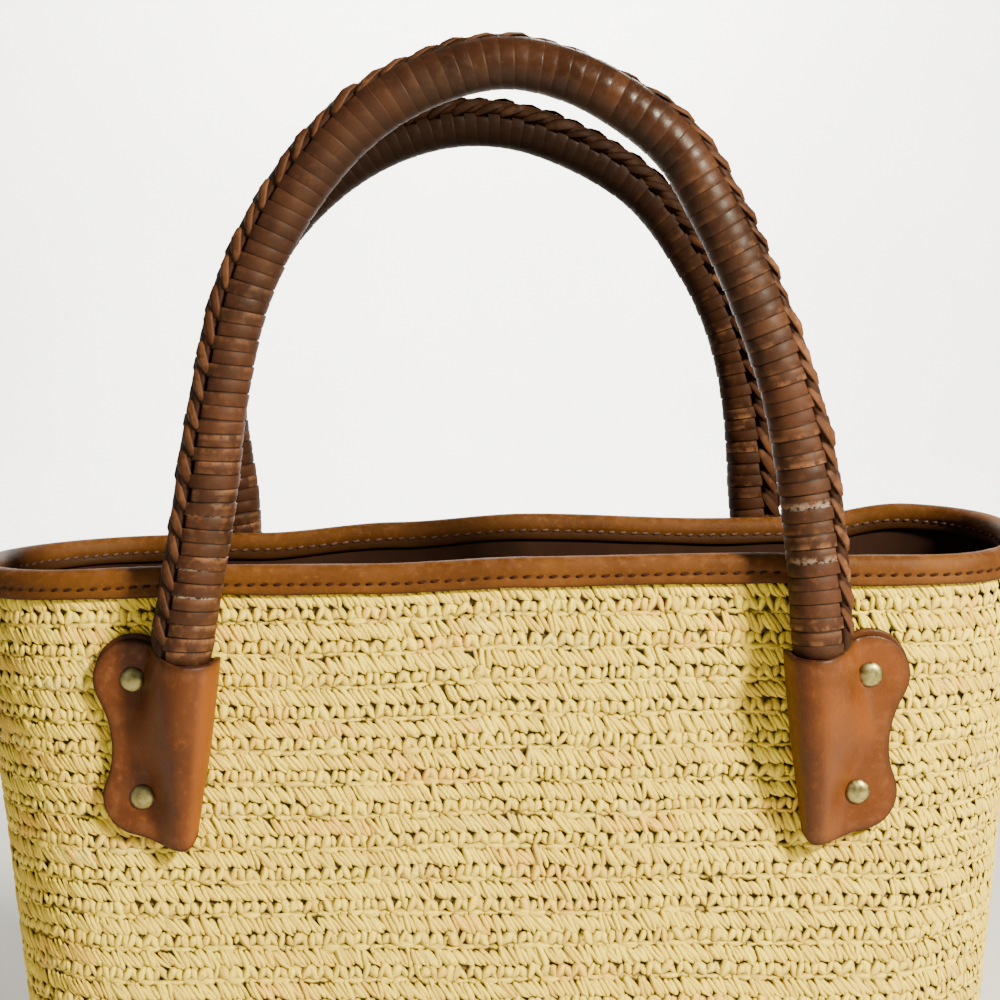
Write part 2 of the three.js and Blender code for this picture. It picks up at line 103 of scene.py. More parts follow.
# Form of a folded tab by height: up, edge of the fold, height of the crest, where the crest runs, where the
# front leaf comes down to the flange, and how full its curve is at the crest and at the flange
TAB_FORM = np.array([
    (-70, -9.4, 6.6, -4.6, 3.0, 2.6, 2.4), (-60, -9.8, 9.4, -4.4, 5.4, 3.2, 3.0),
    (-48.6, -10.4, 13.0, -3.8, 7.6, 4.2, 3.2), (-38, -11.1, 16.2, -3.0, 13.5, 5.2, 4.5),
    (-27, -11.8, 19.2, -2.2, 20.0, 6.6, 6.5), (-14, -12.1, 21.6, -1.4, 16.5, 9.2, 3.0),
    (-4, -12.2, 22.4, -1.1, 15.2, 10.9, 2.2), (8, -12.2, 23.0, -1.0, 15.0, 11.0, 1.8),
])


# Numbers

def mix(a, b, share):
    return a + (b - a) * share


def smoothstep(x, low, high):
    share = np.clip((x - low) / (high - low), 0, 1)
    return share * share * (3 - 2 * share)


def hill(x, middle, reach, power=2):
    """A hill of height 1 over a middle, flatter on top for a higher power."""
    return np.exp(-((x - middle) / reach) ** power)


def bezier(p0, p1, p2, p3, u):
    return (1 - u) ** 3 * p0 + 3 * u * (1 - u) ** 2 * p1 + 3 * u * u * (1 - u) * p2 + u ** 3 * p3


def smooth_column(table, column, place):
    """A column of a table at places in its first column, through every row with no overshoot."""
    knots, values = table[:, 0], table[:, column]
    steps = np.diff(knots)
    slopes = np.diff(values) / steps
    before, after = slopes[:-1], slopes[1:]
    same_way = before * after > 0
    middle = np.where(same_way, 2 * before * after / np.where(same_way, before + after, 1), 0)
    tangents = np.concatenate([slopes[:1], middle, slopes[-1:]])
    place = np.clip(place, knots[0], knots[-1])
    row = np.clip(np.searchsorted(knots, place) - 1, 0, len(steps) - 1)
    u = (place - knots[row]) / steps[row]
    return (values[row] * (1 + 2 * u) * (1 - u) ** 2 + values[row + 1] * u * u * (3 - 2 * u)
            + steps[row] * (tangents[row] * u * (1 - u) ** 2 - tangents[row + 1] * u * u * (1 - u)))


def eased_column(table, column, place):
    """A column of a table at places in its first column, eased from row to row as in the solids."""
    knots, values = table[:, 0], table[:, column]
    place = np.clip(place, knots[0], knots[-1])
    row = np.clip(np.searchsorted(knots, place) - 1, 0, len(knots) - 2)
    return mix(values[row], values[row + 1], smoothstep(place, knots[row], knots[row + 1]))


def wave_noise(x, wavelength, seed, count=4):
    """A smooth wandering value of about -1 to 1 along x."""
    draws = np.random.default_rng(seed)
    total = np.zeros_like(x, dtype=float)
    for _ in range(count):
        total = total + np.sin(2 * np.pi * (x / (wavelength * draws.uniform(0.6, 1.7)) + draws.uniform()))
    return total / count * 1.4


def unit(vectors):
    return vectors / np.maximum(np.linalg.norm(vectors, axis=-1, keepdims=True), 1e-9)


def square_to(along, vectors):
    """The directions of vectors after what runs along another direction is taken out."""
    return unit(vectors - along * np.sum(vectors * along, -1, keepdims=True))


def stacked(*channels):
    """Three channels side by side, each spread to the shape of all."""
    return np.stack(np.broadcast_arrays(*channels), -1)


def lengths_along(line):
    return np.concatenate([[0], np.cumsum(np.linalg.norm(np.diff(line, axis=0), axis=1))])


def place_along(line, lengths, where):
    return np.stack([np.interp(where, lengths, column) for column in line.T], -1)


# Meshes

def make_piece(name, parts, materials, replaced=None, face_materials=None):
    """A piece riding on the bag, of parts with points in millimetres, face index arrays and attributes."""
    points, attributes, by_size = [], {}, {}
    first = 0
    for part_points, part_faces, part_attributes in parts:
        points.append(np.reshape(part_points, (-1, 3)))
        for group in part_faces:
            by_size.setdefault(group.shape[1], []).append(group + first)
        for label, values in part_attributes.items():
            attributes.setdefault(label, []).append(np.ravel(values))
        first += len(points[-1])
    faces = [np.concatenate(groups) for groups in by_size.values()]
    sizes = np.concatenate([np.full(len(group), group.shape[1]) for group in faces])
    starts = np.concatenate([[0], np.cumsum(sizes)[:-1]])
    corners = np.concatenate([group.ravel() for group in faces])
    mesh = bpy.data.meshes.new(name)
    mesh.vertices.add(first)
    mesh.vertices.foreach_set("co", (np.concatenate(points).astype(np.float32) * MM).ravel())
    mesh.loops.add(len(corners))
    mesh.loops.foreach_set("vertex_index", corners.astype(np.int32))
    mesh.polygons.add(len(sizes))
    mesh.polygons.foreach_set("loop_start", starts.astype(np.int32))
    if face_materials is not None:
        mesh.polygons.foreach_set("material_index", face_materials.astype(np.int32))
    mesh.update(calc_edges=True)
    mesh.validate()
    mesh.shade_smooth()
    for label, values in attributes.items():
        layer = mesh.attributes.new(label, "FLOAT_VECTOR", "POINT")
        layer.data.foreach_set("vector", np.concatenate(values).astype(np.float32))
    for material in materials:
        mesh.materials.append(material)
    piece = bpy.data.objects.new(name, mesh)
    bpy.context.scene.collection.objects.link(piece)
    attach(piece, "root")
    if replaced:
        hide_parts(replaced)


def grid_faces(rows, columns, wrap_rows=False, wrap_columns=False, first=0):
    """Quads of a grid of points stored row by row."""
    r = np.arange(rows if wrap_rows else rows - 1)[:, None]
    c = np.arange(columns if wrap_columns else columns - 1)[None, :]
    near, far = r * columns, ((r + 1) % rows) * columns
    step = (c + 1) % columns
    return (first + np.stack([near + c, near + step, far + step, far + c], -1)).reshape(-1, 4)


def tube_faces(rows, columns):
    """Faces of one tube of rings with a flat face at each end."""
    ring = np.arange(columns)[None, :]
    return [grid_faces(rows, columns, wrap_columns=True), ring[:, ::-1], (rows - 1) * columns + ring]


def strand_faces(count, rings, sides):
    """Faces of many closed strands, each with a tip, rings of points and another tip."""
    size = rings * sides + 2
    side = np.arange(sides)
    following = (side + 1) % sides
    last = 1 + (rings - 1) * sides
    fans = np.concatenate([
        np.stack([np.zeros(sides, dtype=int), 1 + following, 1 + side], -1),
        np.stack([np.full(sides, size - 1), last + side, last + following], -1),
    ])
    tubes = grid_faces(rings, sides, wrap_columns=True, first=1)
    offsets = (np.arange(count) * size)[:, None, None]
    return [(fans[None] + offsets).reshape(-1, 3), (tubes[None] + offsets).reshape(-1, 4)]


def strand_points(path, rings):
    """Points of closed strands: the first place of each path, its rings and its last place."""
    return np.concatenate([path[:, :1, :3], rings.reshape(len(path), -1, 3), path[:, -1:, :3]], 1)


def tipped(first, rings, last):
    """Values for the points of one strand: at its first tip, round its rings and at its last tip."""
    return np.concatenate([[first], rings, [last]])


# Materials

class Nodes:
    """Short ways to add and link shader nodes of one material."""

    def __init__(self, name, roughness, specular=0.5, metallic=0.0):
        self.material = bpy.data.materials.new(name)
        self.material.use_nodes = True
        self.tree = self.material.node_tree
        self.shader = self.tree.nodes["Principled BSDF"]
        self.shader.inputs["Roughness"].default_value = roughness
        self.shader.inputs["Specular IOR Level"].default_value = specular
        self.shader.inputs["Metallic"].default_value = metallic

    def add(self, kind, inputs=None, **settings):
        node = self.tree.nodes.new(kind)
        for key, value in settings.items():
            setattr(node, key, value)
        for key, value in (inputs or {}).items():
            if isinstance(value, bpy.types.NodeSocket):
                self.tree.links.new(value, node.inputs[key])
            else:
                node.inputs[key].default_value = value
        return node

    def place(self):
        return self.add("ShaderNodeTexCoord").outputs["Object"]

    def attribute(self, name):
        return self.add("ShaderNodeAttribute", attribute_name=name).outputs["Vector"]

    def channels(self, name):
        return self.add("ShaderNodeSeparateXYZ", {"Vector": self.attribute(name)}).outputs

    def noise(self, vector, scale, detail=3.0, roughness=0.55):
        return self.add("ShaderNodeTexNoise", {
            "Vector": vector, "Scale": scale, "Detail": detail, "Roughness": roughness}).outputs["Fac"]

    def ramp(self, value, low, high, most=1.0, least=0.0):
        return self.add("ShaderNodeMapRange", {
            "Value": value, "From Min": low, "From Max": high, "To Min": least, "To Max": most,
        }, interpolation_type="SMOOTHSTEP").outputs["Result"]

    def maths(self, operation, a, b=0.0):
        return self.add("ShaderNodeMath", {0: a, 1: b}, operation=operation).outputs["Value"]

    def set(self, socket, value):
        self.tree.links.new(value, self.shader.inputs[socket])

    def colour(self, base, layers):
        """The base colour, with other colours laid over it one by one, each by a share."""
        base = (*base, 1.0)
        for share, cover in layers:
            node = self.add("ShaderNodeMix", {0: share}, data_type="RGBA")
            if isinstance(base, tuple):
                node.inputs[6].default_value = base
            else:
                self.tree.links.new(base, node.inputs[6])
            node.inputs[7].default_value = (*cover, 1.0)
            base = node.outputs[2]
        self.set("Base Color", base)

    def bump(self, height, distance, strength=1.0):
        node = self.add("ShaderNodeBump", {"Height": height, "Distance": distance, "Strength": strength})
        self.set("Normal", node.outputs["Normal"])


def raffia_material():
    """Flat plant strands: cream and yellow with peach, tan and bleached stretches, and fibres along them, with
    painted shade where they sink among their neighbours and along their side edges.
    """
    nodes = Nodes("raffia_strand", 0.62)
    tint, depth, shade = nodes.channels("tint")
    streaks = nodes.noise(nodes.attribute("fibre"), 1.0, detail=4.0, roughness=0.65)
    crinkles = nodes.noise(nodes.place(), 620.0, detail=5.0, roughness=0.7)
    nodes.colour((0.86, 0.59, 0.026), [
        (nodes.ramp(tint, 0.15, 0.55), (0.99, 0.74, 0.040)),
        (nodes.ramp(tint, 0.70, 0.86, 0.75), (0.86, 0.47, 0.036)),
        (nodes.ramp(tint, 0.90, 0.98, 0.8), (0.94, 0.77, 0.11)),
        (nodes.ramp(shade, 0.0, 1.0, 0.45), (0.56, 0.32, 0.026)),
        (nodes.ramp(streaks, 0.50, 0.64, 0.6), (0.47, 0.330, 0.024)),
        (nodes.ramp(streaks, 0.44, 0.28, 0.5), (0.96, 0.75, 0.085)),
        (nodes.ramp(crinkles, 0.54, 0.70, 0.5), (0.44, 0.310, 0.024)),
        # Painted shade: darker where a strand sinks among its neighbours and along its side edges
        (nodes.ramp(depth, 0.75, 0.1, 0.8), (0.15, 0.096, 0.016)),
    ])
    nodes.shader.inputs["Sheen Weight"].default_value = 0.06
    nodes.bump(nodes.maths("SUBTRACT", streaks, crinkles), 0.0007)
    return nodes.material


def painted_shade_ground_material():
    """Inner strands that show between the stitches, painted dark as the shade in the gaps."""
    nodes = Nodes("raffia_ground_painted_shade", 0.85)
    lying = nodes.add("ShaderNodeMapping", {"Vector": nodes.place(), "Scale": (240, 240, 900)})
    fibre = nodes.noise(lying.outputs["Vector"], 1.0)
    nodes.colour((0.062, 0.039, 0.008), [(nodes.ramp(fibre, 0.3, 0.7), (0.15, 0.098, 0.017))])
    nodes.bump(fibre, 0.0005, 0.8)
    return nodes.material


LEATHER_SHADE = 0.89
WORN_HIDE = (0.23, 0.10, 0.045)
TORN_HIDE = (0.40, 0.31, 0.25)


def leather_material(name, dyes, roughness, specular, grain=0.00012, frays=False, shade=LEATHER_SHADE):
    """Smooth hide: cloudy dye, fine pebbled grain, a few creases and lighter rubbed places, with the finish's tone
    and dark laid over, which carry dark edges, painted light and painted shade.
    """
    dark, middle, light = (tuple(shade * part for part in dye) for dye in dyes)
    nodes = Nodes(name, roughness, specular)
    place = nodes.place()
    clouds = nodes.noise(place, 38.0, detail=4.0)
    fine = nodes.noise(place, 420.0)
    pebbles = nodes.add("ShaderNodeTexVoronoi", {"Vector": place, "Scale": 1100.0}).outputs["Distance"]
    # The finish: a tone, painted light and shade on the tabs and painted shade on the back handle; a dark, of dark
    # edges and painted shade; and wear
    change, edge, wear = nodes.channels("finish")
    worn = nodes.maths("MULTIPLY", wear, nodes.ramp(nodes.noise(place, 210.0, detail=5.0), 0.42, 0.62))
    layers = [
        (nodes.ramp(clouds, 0.3, 0.7), middle),
        (nodes.ramp(fine, 0.52, 0.78, 0.5), light),
        (nodes.ramp(fine, 0.46, 0.25, 0.35), dark),
        (nodes.ramp(change, 0.5, 1.0, 0.85), light),
        (nodes.ramp(change, 0.5, 0.0, 0.85), dark),
        (worn, WORN_HIDE),
        (nodes.maths("MULTIPLY", edge, 0.85), tuple(0.22 * part for part in dark)),
    ]
    rough = nodes.maths("ADD", nodes.ramp(clouds, 0.3, 0.7, 0.07, -0.07), roughness)
    rough = nodes.maths("ADD", rough, nodes.ramp(fine, 0.3, 0.7, 0.05, -0.05))
    if frays:
        polish, fray, _ = nodes.channels("polish")
        rough = nodes.maths("SUBTRACT", rough, nodes.maths("MULTIPLY", polish, 0.33))
        fibres = nodes.ramp(nodes.noise(place, 700.0, detail=4.0), 0.42, 0.56)
        layers.append((nodes.maths("MULTIPLY", fray, fibres), TORN_HIDE))
    nodes.colour(dark, layers)
    nodes.set("Roughness", rough)
    nodes.bump(nodes.maths("ADD", nodes.maths("MULTIPLY", pebbles, 0.6), fine), grain, 0.8)
    return nodes.material


def plain_material(name, dark, light, scale, roughness, specular=0.5, metallic=0.0, relief=0.0002):
    """Two shades of one stuff in fine patches, with a little relief."""
    nodes = Nodes(name, roughness, specular, metallic)
    patches = nodes.noise(nodes.place(), scale, detail=4.0)
    nodes.colour(dark, [(nodes.ramp(patches, 0.35, 0.65), light)])
    nodes.set("Roughness", nodes.ramp(patches, 0.3, 0.7, roughness + 0.1, roughness - 0.08))
    nodes.bump(patches, relief, 0.6)
    return nodes.material


def cloth_material():
    """Plain woven cotton: threads along the wall and up it."""
    radians_per_mm = 9.0
    nodes = Nodes("lining_cloth", 0.9, 0.1)
    along, up, _ = nodes.channels("thread")
    waves = [nodes.maths("SINE", nodes.maths("MULTIPLY", way, radians_per_mm)) for way in (along, up)]
    weave = nodes.maths("MULTIPLY", *waves)
    cloud = nodes.noise(nodes.place(), 60.0, detail=4.0)
    nodes.colour((0.011, 0.0042, 0.0024), [
        (nodes.ramp(weave, -0.6, 0.6), (0.024, 0.0092, 0.0050)),
        (nodes.ramp(cloud, 0.4, 0.7, 0.4), (0.034, 0.0135, 0.0072)),
    ])
    nodes.bump(weave, 0.00015, 0.5)
    return nodes.material


# Looks of the handles: shine, dye scale of the braid, tone of the lace, painted shade up in the arch, polish by
# hands.
# Both are of the same leather; the back one has less shine, and its braid, lace tone and arch are painted dark as
# shade.
HANDLE_LOOKS = {"front": (1.0, LEATHER_SHADE, 0.5, 0.38, 0.8), "back": (0.5, 0.6, 0.05, 0.95, 0.2)}
# Dyes of the hides: dark, middle, light
TAB_DYES = (0.066, 0.0170, 0.0027), (0.125, 0.034, 0.0052), (0.195, 0.054, 0.0075)
RIM_DYES = (0.076, 0.0250, 0.0046), (0.118, 0.0415, 0.0078), (0.19, 0.070, 0.0140)
LACE_DYES = (0.026, 0.0088, 0.0034), (0.056, 0.0182, 0.0066), (0.086, 0.0310, 0.0120)
BRAID_DYES = (0.045, 0.0155, 0.0062), (0.098, 0.036, 0.0150), (0.155, 0.060, 0.027)

RAFFIA_STRAND = raffia_material()
RAFFIA_GROUND_PAINTED_SHADE = painted_shade_ground_material()
LINING_CLOTH = cloth_material()
TAB_HIDE = leather_material("tan_leather", TAB_DYES, 0.48, 0.2)
RIM_HIDE = leather_material("rim_leather", RIM_DYES, 0.58, 0.1)
LACE_HIDES = {
    side: leather_material(f"lace_leather_{side}", LACE_DYES, 0.62, 0.16 * shine, grain=0.00005, frays=True)
    for side, (shine, *_) in HANDLE_LOOKS.items()
}
# Braid hides: the back one's dyes are scaled down as painted shade
BRAID_HIDES = {
    side: leather_material(f"braid_leather_{side}", BRAID_DYES, 0.62, 0.12 * shine, shade=shade)
    for side, (shine, shade, *_) in HANDLE_LOOKS.items()
}
BURNISHED = plain_material("burnished_edge", (0.020, 0.006, 0.0025), (0.050, 0.015, 0.006), 300.0, 0.5, 0.12)
BROWN_THREAD = plain_material("brown_thread", (0.016, 0.005, 0.002), (0.036, 0.012, 0.0045), 900.0, 0.7, 0.08)
INNER_THREAD = plain_material("inner_thread", (0.048, 0.026, 0.022), (0.088, 0.047, 0.038), 900.0, 0.7, 0.08)
BRASS = plain_material("antique_brass", (0.20, 0.17, 0.062), (0.34, 0.295, 0.13), 420.0, 0.40,
                       metallic=1.0, relief=0.00005)


# The wall as a surface: a share round the outline from the front's middle to the right, and a climb

def round_outline(share, half_width, half_depth, corner):
    """Place and outward direction at a share of a rounded rectangle's outline."""
    flats = half_width - corner, half_depth - corner
    quarter = corner * math.pi / 2
    total = 4 * (flats[0] + flats[1]) + 4 * quarter
    left = (share * total + flats[0]) % total
    x = y = nx = ny = 0.0
    for side in range(4):
        length, off = 2 * flats[side % 2], flats[1 - side % 2]
        start = math.pi / 2 * (side - 1)
        reached = left >= 0
        walk = np.clip(left, 0, length) - length / 2
        angle = start + np.clip(left - length, 0, quarter) / corner
        nx, ny = np.where(reached, np.cos(angle), nx), np.where(reached, np.sin(angle), ny)
        x = np.where(reached, off * math.cos(start) - walk * math.sin(start) + corner * nx, x)
        y = np.where(reached, off * math.sin(start) + walk * math.cos(start) + corner * ny, y)
        left = left - length - quarter
    return x, y, nx, ny


def rim_rise(x, y):
    across = x / MOUTH_HALF_WIDTH
    front, back = eased_column(RIM_WAVES, 1, across), eased_column(RIM_WAVES, 2, across)
    return mix(front, back, smoothstep(y, -PANEL_HALF_DEPTH, PANEL_HALF_DEPTH))


def body(column, height):
    return smooth_column(BODY_SECTIONS, column, height)


PROFILE_HEIGHTS = np.linspace(0, WALL_TOP, 900)
PROFILE_CLIMBS = lengths_along(np.stack([PROFILE_HEIGHTS, body(2, PROFILE_HEIGHTS)], -1))
WALL_CLIMB = PROFILE_CLIMBS[-1]


def wall_point(share, climb, out):
    """A point off the body's outer surface. The climb goes up the wall's profile from the base's edge."""
    height = np.interp(climb, PROFILE_CLIMBS, PROFILE_HEIGHTS)
    step = 0.5
    x, y, nx, ny = round_outline(share, *(body(column, height) for column in (1, 2, 3)))
    wider, deeper = ((body(column, height + step) - body(column, height - step)) / (2 * step) for column in (1, 2))
    slope = wider * nx * nx + deeper * ny * ny
    tilt = 1 / np.sqrt(1 + slope * slope)
    rise = smoothstep(height, PANEL_FOOT, WALL_TOP) * rim_rise(x, y)
    return stacked(x + out * nx * tilt, y + out * ny * tilt, height + rise - out * slope * tilt)


# Crochet: rows of slanted legs alternate with rows of bars over short legs

STITCHES = 166
ROWS = 46
ROW = WALL_CLIMB / ROWS
STITCH = 5.45
ROUND = STITCHES * STITCH
# Strands stand off the body's surface by this at most
HIGHEST = 0.2
# Strand templates: along the row, up, lift, half width, half thickness. The first and last rows are tips.
SLANTED_LEG = np.array([
    (-2.9, 4.3, -1.2, 0, 0), (-2.2, 3.2, -0.52, 0.9, 0.5), (-0.75, 1.1, -0.42, 1.25, 0.6),
    (0.65, -1.0, -0.45, 1.15, 0.6), (1.75, -2.4, -0.9, 0.68, 0.5), (2.5, -3.5, -2.0, 0, 0),
])
BAR = np.array([
    (-4.4, 0.3, -1.9, 0, 0), (-2.6, 0.1, -1.2, 1.35, 0.5), (0, -0.3, -0.95, 1.6, 0.6),
    (2.6, 0.1, -1.2, 1.35, 0.5), (4.4, 0.3, -1.9, 0, 0),
])
SHORT_LEG = np.array([
    (-1.2, 3.2, -1.7, 0, 0), (-0.95, 2.2, -0.7, 1.4, 0.5), (-0.1, 0.4, -0.42, 1.75, 0.64),
    (0.8, -1.5, -0.68, 1.1, 0.5), (1.2, -3.0, -1.9, 0, 0),
])
MIRRORED_LEG = SHORT_LEG * (-1, 1, 1, 1, 1)
FLAT_SECTION = np.array([(1, -0.1), (0, 0.95), (-1, -0.1), (0, -0.9)])
# How far strands differ from their template: size, twist, place along and up, lumps across and in thickness
SIZE_SPREAD, TWIST_SPREAD, ALONG_SPREAD, UP_SPREAD = 0.16, 0.22, 0.16, 0.2
FLAT_LUMPS, THICK_LUMPS = 0.10, 0.09
# Painted shade of a strand: the lift where it is painted darkest, the lift where it is clear of its neighbours and
# unshaded, and the painted shade of its side edges
SUNK, CLEAR = -1.9, -0.35
EDGE_PAINTED_SHADE = 0.5
# Grain of the fibres over a strand: across and along
FIBRE_ACROSS, FIBRE_ALONG = 1.7, 1.1


def strands(template, along, up, tint, place, flow=0.0, gather=0.0, lean=0.18, lift=0.16):
    """Many strands like a template, each a little different, laid on a surface by a place function."""
    count, rings, sides = len(along), len(template) - 2, len(FLAT_SECTION)
    each = (count, 1)
    size = random.normal(1, SIZE_SPREAD, (count, 2, 1)).clip(0.7, 1.35)
    slant = random.normal(0, lean, each) + np.reshape(flow, (-1, 1))
    twist = random.normal(0, TWIST_SPREAD, (count, 1, 1))
    path = np.repeat(template[None], count, 0)
    path[:, :, 1] *= size[:, 0]
    path[:, :, 0] += slant * path[:, :, 1] + random.normal(0, ALONG_SPREAD, each)
    path[:, :, 0] += gather * smoothstep(-path[:, :, 1], 0.5, 3.0)
    path[:, :, 1] += random.normal(0, UP_SPREAD, each)
    path[:, :, 2] += random.normal(0, lift, each)
    path[:, :, 3] *= size[:, 1]
    forward = unit(np.gradient(path[:, :, :2], axis=1))[:, 1:-1, None]
    ring = path[:, 1:-1, None]
    lumps = random.normal(0, 1, (2, count, rings, sides))
    flat = FLAT_SECTION[:, 0] * ring[..., 3] * (1 + FLAT_LUMPS * lumps[0])
    thick = FLAT_SECTION[:, 1] * ring[..., 4] + twist * flat * 0.5 + THICK_LUMPS * lumps[1]
    local = strand_points(path, stacked(
        ring[..., 0] + forward[..., 1] * flat, ring[..., 1] - forward[..., 0] * flat, ring[..., 2] + thick))
    points = place(along[:, None] + local[..., 0], np.reshape(up, (-1, 1)) + local[..., 1], local[..., 2])
    # Painted shade: darker where a strand sinks towards the ground and along its side edges
    edges = tipped(1.0, np.tile(FLAT_SECTION[:, 1] < 0.5, rings), 1.0)
    depth = np.clip(smoothstep(local[..., 2], SUNK, CLEAR) - EDGE_PAINTED_SHADE * edges, 0, 1)
    shade = random.uniform(0, 1, each) ** 3
    run = tipped(0, np.repeat(np.linspace(0, 1, rings + 2)[1:-1], sides), 1)
    spread = tipped(0, np.tile(np.arange(sides), rings), 0)
    seed = random.uniform(0, 90, each)
    # The tint attribute holds each strand's tint, its painted shade and a random tone
    return points, strand_faces(count, rings, sides), {
        "tint": stacked(tint[:, None], depth, shade),
        "fibre": stacked(spread * FIBRE_ACROSS + seed, run * FIBRE_ALONG + seed, seed),
    }


def row_tints(row, along):
    """Colours of one row: long stretches of one strand, with peach, tan or bleached lengths here and there."""
    stretches = 0.16 * wave_noise(along, ROUND / 14, 1000 + row) + 0.1 * wave_noise(along, ROUND / 60, 2000 + row)
    odd = wave_noise(along, ROUND / 9, 3000 + row)
    tint = 0.42 + stretches
    tint = np.where(odd > 0.80, 0.84 + 0.05 * stretches, tint)
    tint = np.where(odd < -1.02, 0.97, tint)
    return np.clip(tint + random.normal(0, 0.05, len(along)), 0, 1)


def slanted_row(row, along, up, place):
    """A row of slanted legs, three to a stitch and gathered at their feet."""
    for leg in (-1 / 3, 0, 1 / 3):
        where = along + leg * STITCH + random.normal(0, 0.12, len(along))
        flow = -0.14 * wave_noise(where, 46.0, 700 + row)
        yield strands(SLANTED_LEG, where, up, row_tints(row, where), place, flow, gather=-3.4 * leg)


def bar_row(row, along, bars_up, legs_up, place, bar_lean, bar_lift, leg_lift):
    """A row of bars with two short legs over each."""
    yield strands(BAR, along, bars_up, row_tints(row, along), place, lean=bar_lean, lift=bar_lift)
    for leg, template in ((-0.25, MIRRORED_LEG), (0.25, SHORT_LEG)):
        where = along + leg * STITCH
        yield strands(template, where, legs_up, row_tints(row, where), place, lift=leg_lift)


def place_on_wall(along, up, lift):
    return wall_point(along / ROUND, up, np.minimum(lift, HIGHEST))


def place_on_base(along, up, lift):
    return stacked(along, up, np.maximum(-lift, 0.0))


def wall_stitches(first_share, last_share):
    """The stitches of all the rows between two shares of the outline."""
    columns = np.arange(math.ceil(first_share * STITCHES), math.ceil(last_share * STITCHES))
    for row in range(ROWS):
        shift = 0.37 * row + 0.6 * wave_noise(np.array([row * 1.0]), 6.0, 44)[0]
        along = (columns + shift % 1.0) * STITCH
        band = row // 5
        wander = mix(wave_noise(along, 90.0, 500 + band), wave_noise(along, 90.0, 501 + band), row % 5 / 5)
        up = (row + 0.5) * ROW + 0.6 * wander + 0.1 * wave_noise(along, 30.0, 600 + row)
        if row % 2 == 0:
            yield from slanted_row(row, along, up, place_on_wall)
        else:
            yield from bar_row(row, along, up - 0.27 * ROW, up + 0.15 * ROW, place_on_wall, 0.2, 0.3, 0.16)


def base_stitches():
    """Rows of bars along the bag, inside the base's outline."""
    margin = 2.0
    half_width, half_depth, corner = BODY_SECTIONS[0, 1:] + margin
    count = int(2 * half_depth / ROW)
    for row in range(count):
        across = (row + 0.5 - count / 2) * ROW
        inset = max(0.0, abs(across) - (half_depth - corner))
        reach = half_width - corner + math.sqrt(max(corner * corner - inset * inset, 0.0)) - margin
        along = np.arange(-reach, reach, STITCH) + (row % 2) * STITCH / 2
        yield from bar_row(row, along, across - 1.75, across + 0.6, place_on_base, 0.08, 0.06, 0.06)


PANEL_SHARE = 0.135
PANELS = {
    "crochet_front": (-PANEL_SHARE, PANEL_SHARE),
    "crochet_right": (PANEL_SHARE, 0.5 - PANEL_SHARE),
    "crochet_back": (0.5 - PANEL_SHARE, 0.5 + PANEL_SHARE),
    "crochet_left": (0.5 + PANEL_SHARE, 1 - PANEL_SHARE),
}
for panel, shares in PANELS.items():
    make_piece(panel, wall_stitches(*shares), [RAFFIA_STRAND])
make_piece("crochet_base", base_stitches(), [RAFFIA_STRAND])


# Shells: the ground under the stitches, painted dark as shade, and the lining

GROUND_INSET = 1.9
GROUND_CLIMBS = np.concatenate([[0, 5, 10], np.linspace(16, WALL_CLIMB - 0.3, 24)])
LINING_CLIMBS = np.concatenate([[9, 14], np.linspace(20, WALL_CLIMB, 34)])


def cup(climbs, outer, inner, floor, around=136):
    """Points and faces of a closed cup between two insets of the wall, and the cloth places of its points."""
    shares = np.arange(around) / around
    rings = [wall_point(shares, climb, -outer) for climb in climbs]
    rings += [wall_point(shares, climb, -inner) for climb in climbs[::-1]]
    points = np.concatenate(rings)
    points[:around, 2] = floor
    points[-around:, 2] = floor + inner - outer
    climbing = np.concatenate([climbs, climbs[::-1]])
    thread = stacked(shares * ROUND, climbing[:, None], 0.0).reshape(-1, 3)
    return points, tube_faces(len(rings), around), thread


def lining_part():
    """The lining, with soft folds on its inner side between the rim and the floor."""
    points, faces, thread = cup(LINING_CLIMBS, RAFFIA + GAP, EDGE_STACK, RAFFIA + GAP)
    along, climb, _ = thread.T
    inner_half = np.arange(len(points)) >= len(points) // 2
    sag = smoothstep(climb, WALL_CLIMB - 4, WALL_CLIMB - 30) * smoothstep(climb, 10, 40)
    wrinkle = 0.5 + 0.5 * wave_noise(along + 0.35 * climb, 46.0, 81)
    inward = wall_point(along / ROUND, climb, -10.0) - wall_point(along / ROUND, climb, 0.0)
    folds = unit(inward) * (inner_half * sag * wrinkle * 1.4)[:, None]
    return points + folds, faces, {"thread": thread}


ground_points, ground_faces, _ = cup(GROUND_CLIMBS, GROUND_INSET, RAFFIA - 0.05, GROUND_INSET)
# The ground is painted dark as the shade between the stitches
make_piece("raffia_ground_painted_shade", [(ground_points, ground_faces, {})], [RAFFIA_GROUND_PAINTED_SHADE], "body_shell")
make_piece("lining_cup", [lining_part()], [LINING_CLOTH], "lining")


# Rim binding: a rolled strip with a stitched lower edge on both sides

RIM_STEPS = 372
RIM_MIDDLE = -EDGE_STACK / 2
RIM_FACE = GAP + BINDING_LEATHER
STITCH_PITCH = 4.5
STITCH_LINE = BINDING_ROUND - 6.7
STITCH_GROOVE = 0.9
STITCH_SINK = 0.3
# One rim stitch from end to end: along, depth off the face, slope and radius
RIM_STITCH = np.array([
    (-1.4, -0.5, -0.30, 0), (-1.15, 0.05, -0.26, 0.45), (-0.45, 0.28, -0.1, 0.56),
    (0.45, 0.28, 0.1, 0.56), (1.15, 0.05, 0.26, 0.45), (1.4, -0.5, 0.30, 0),
])


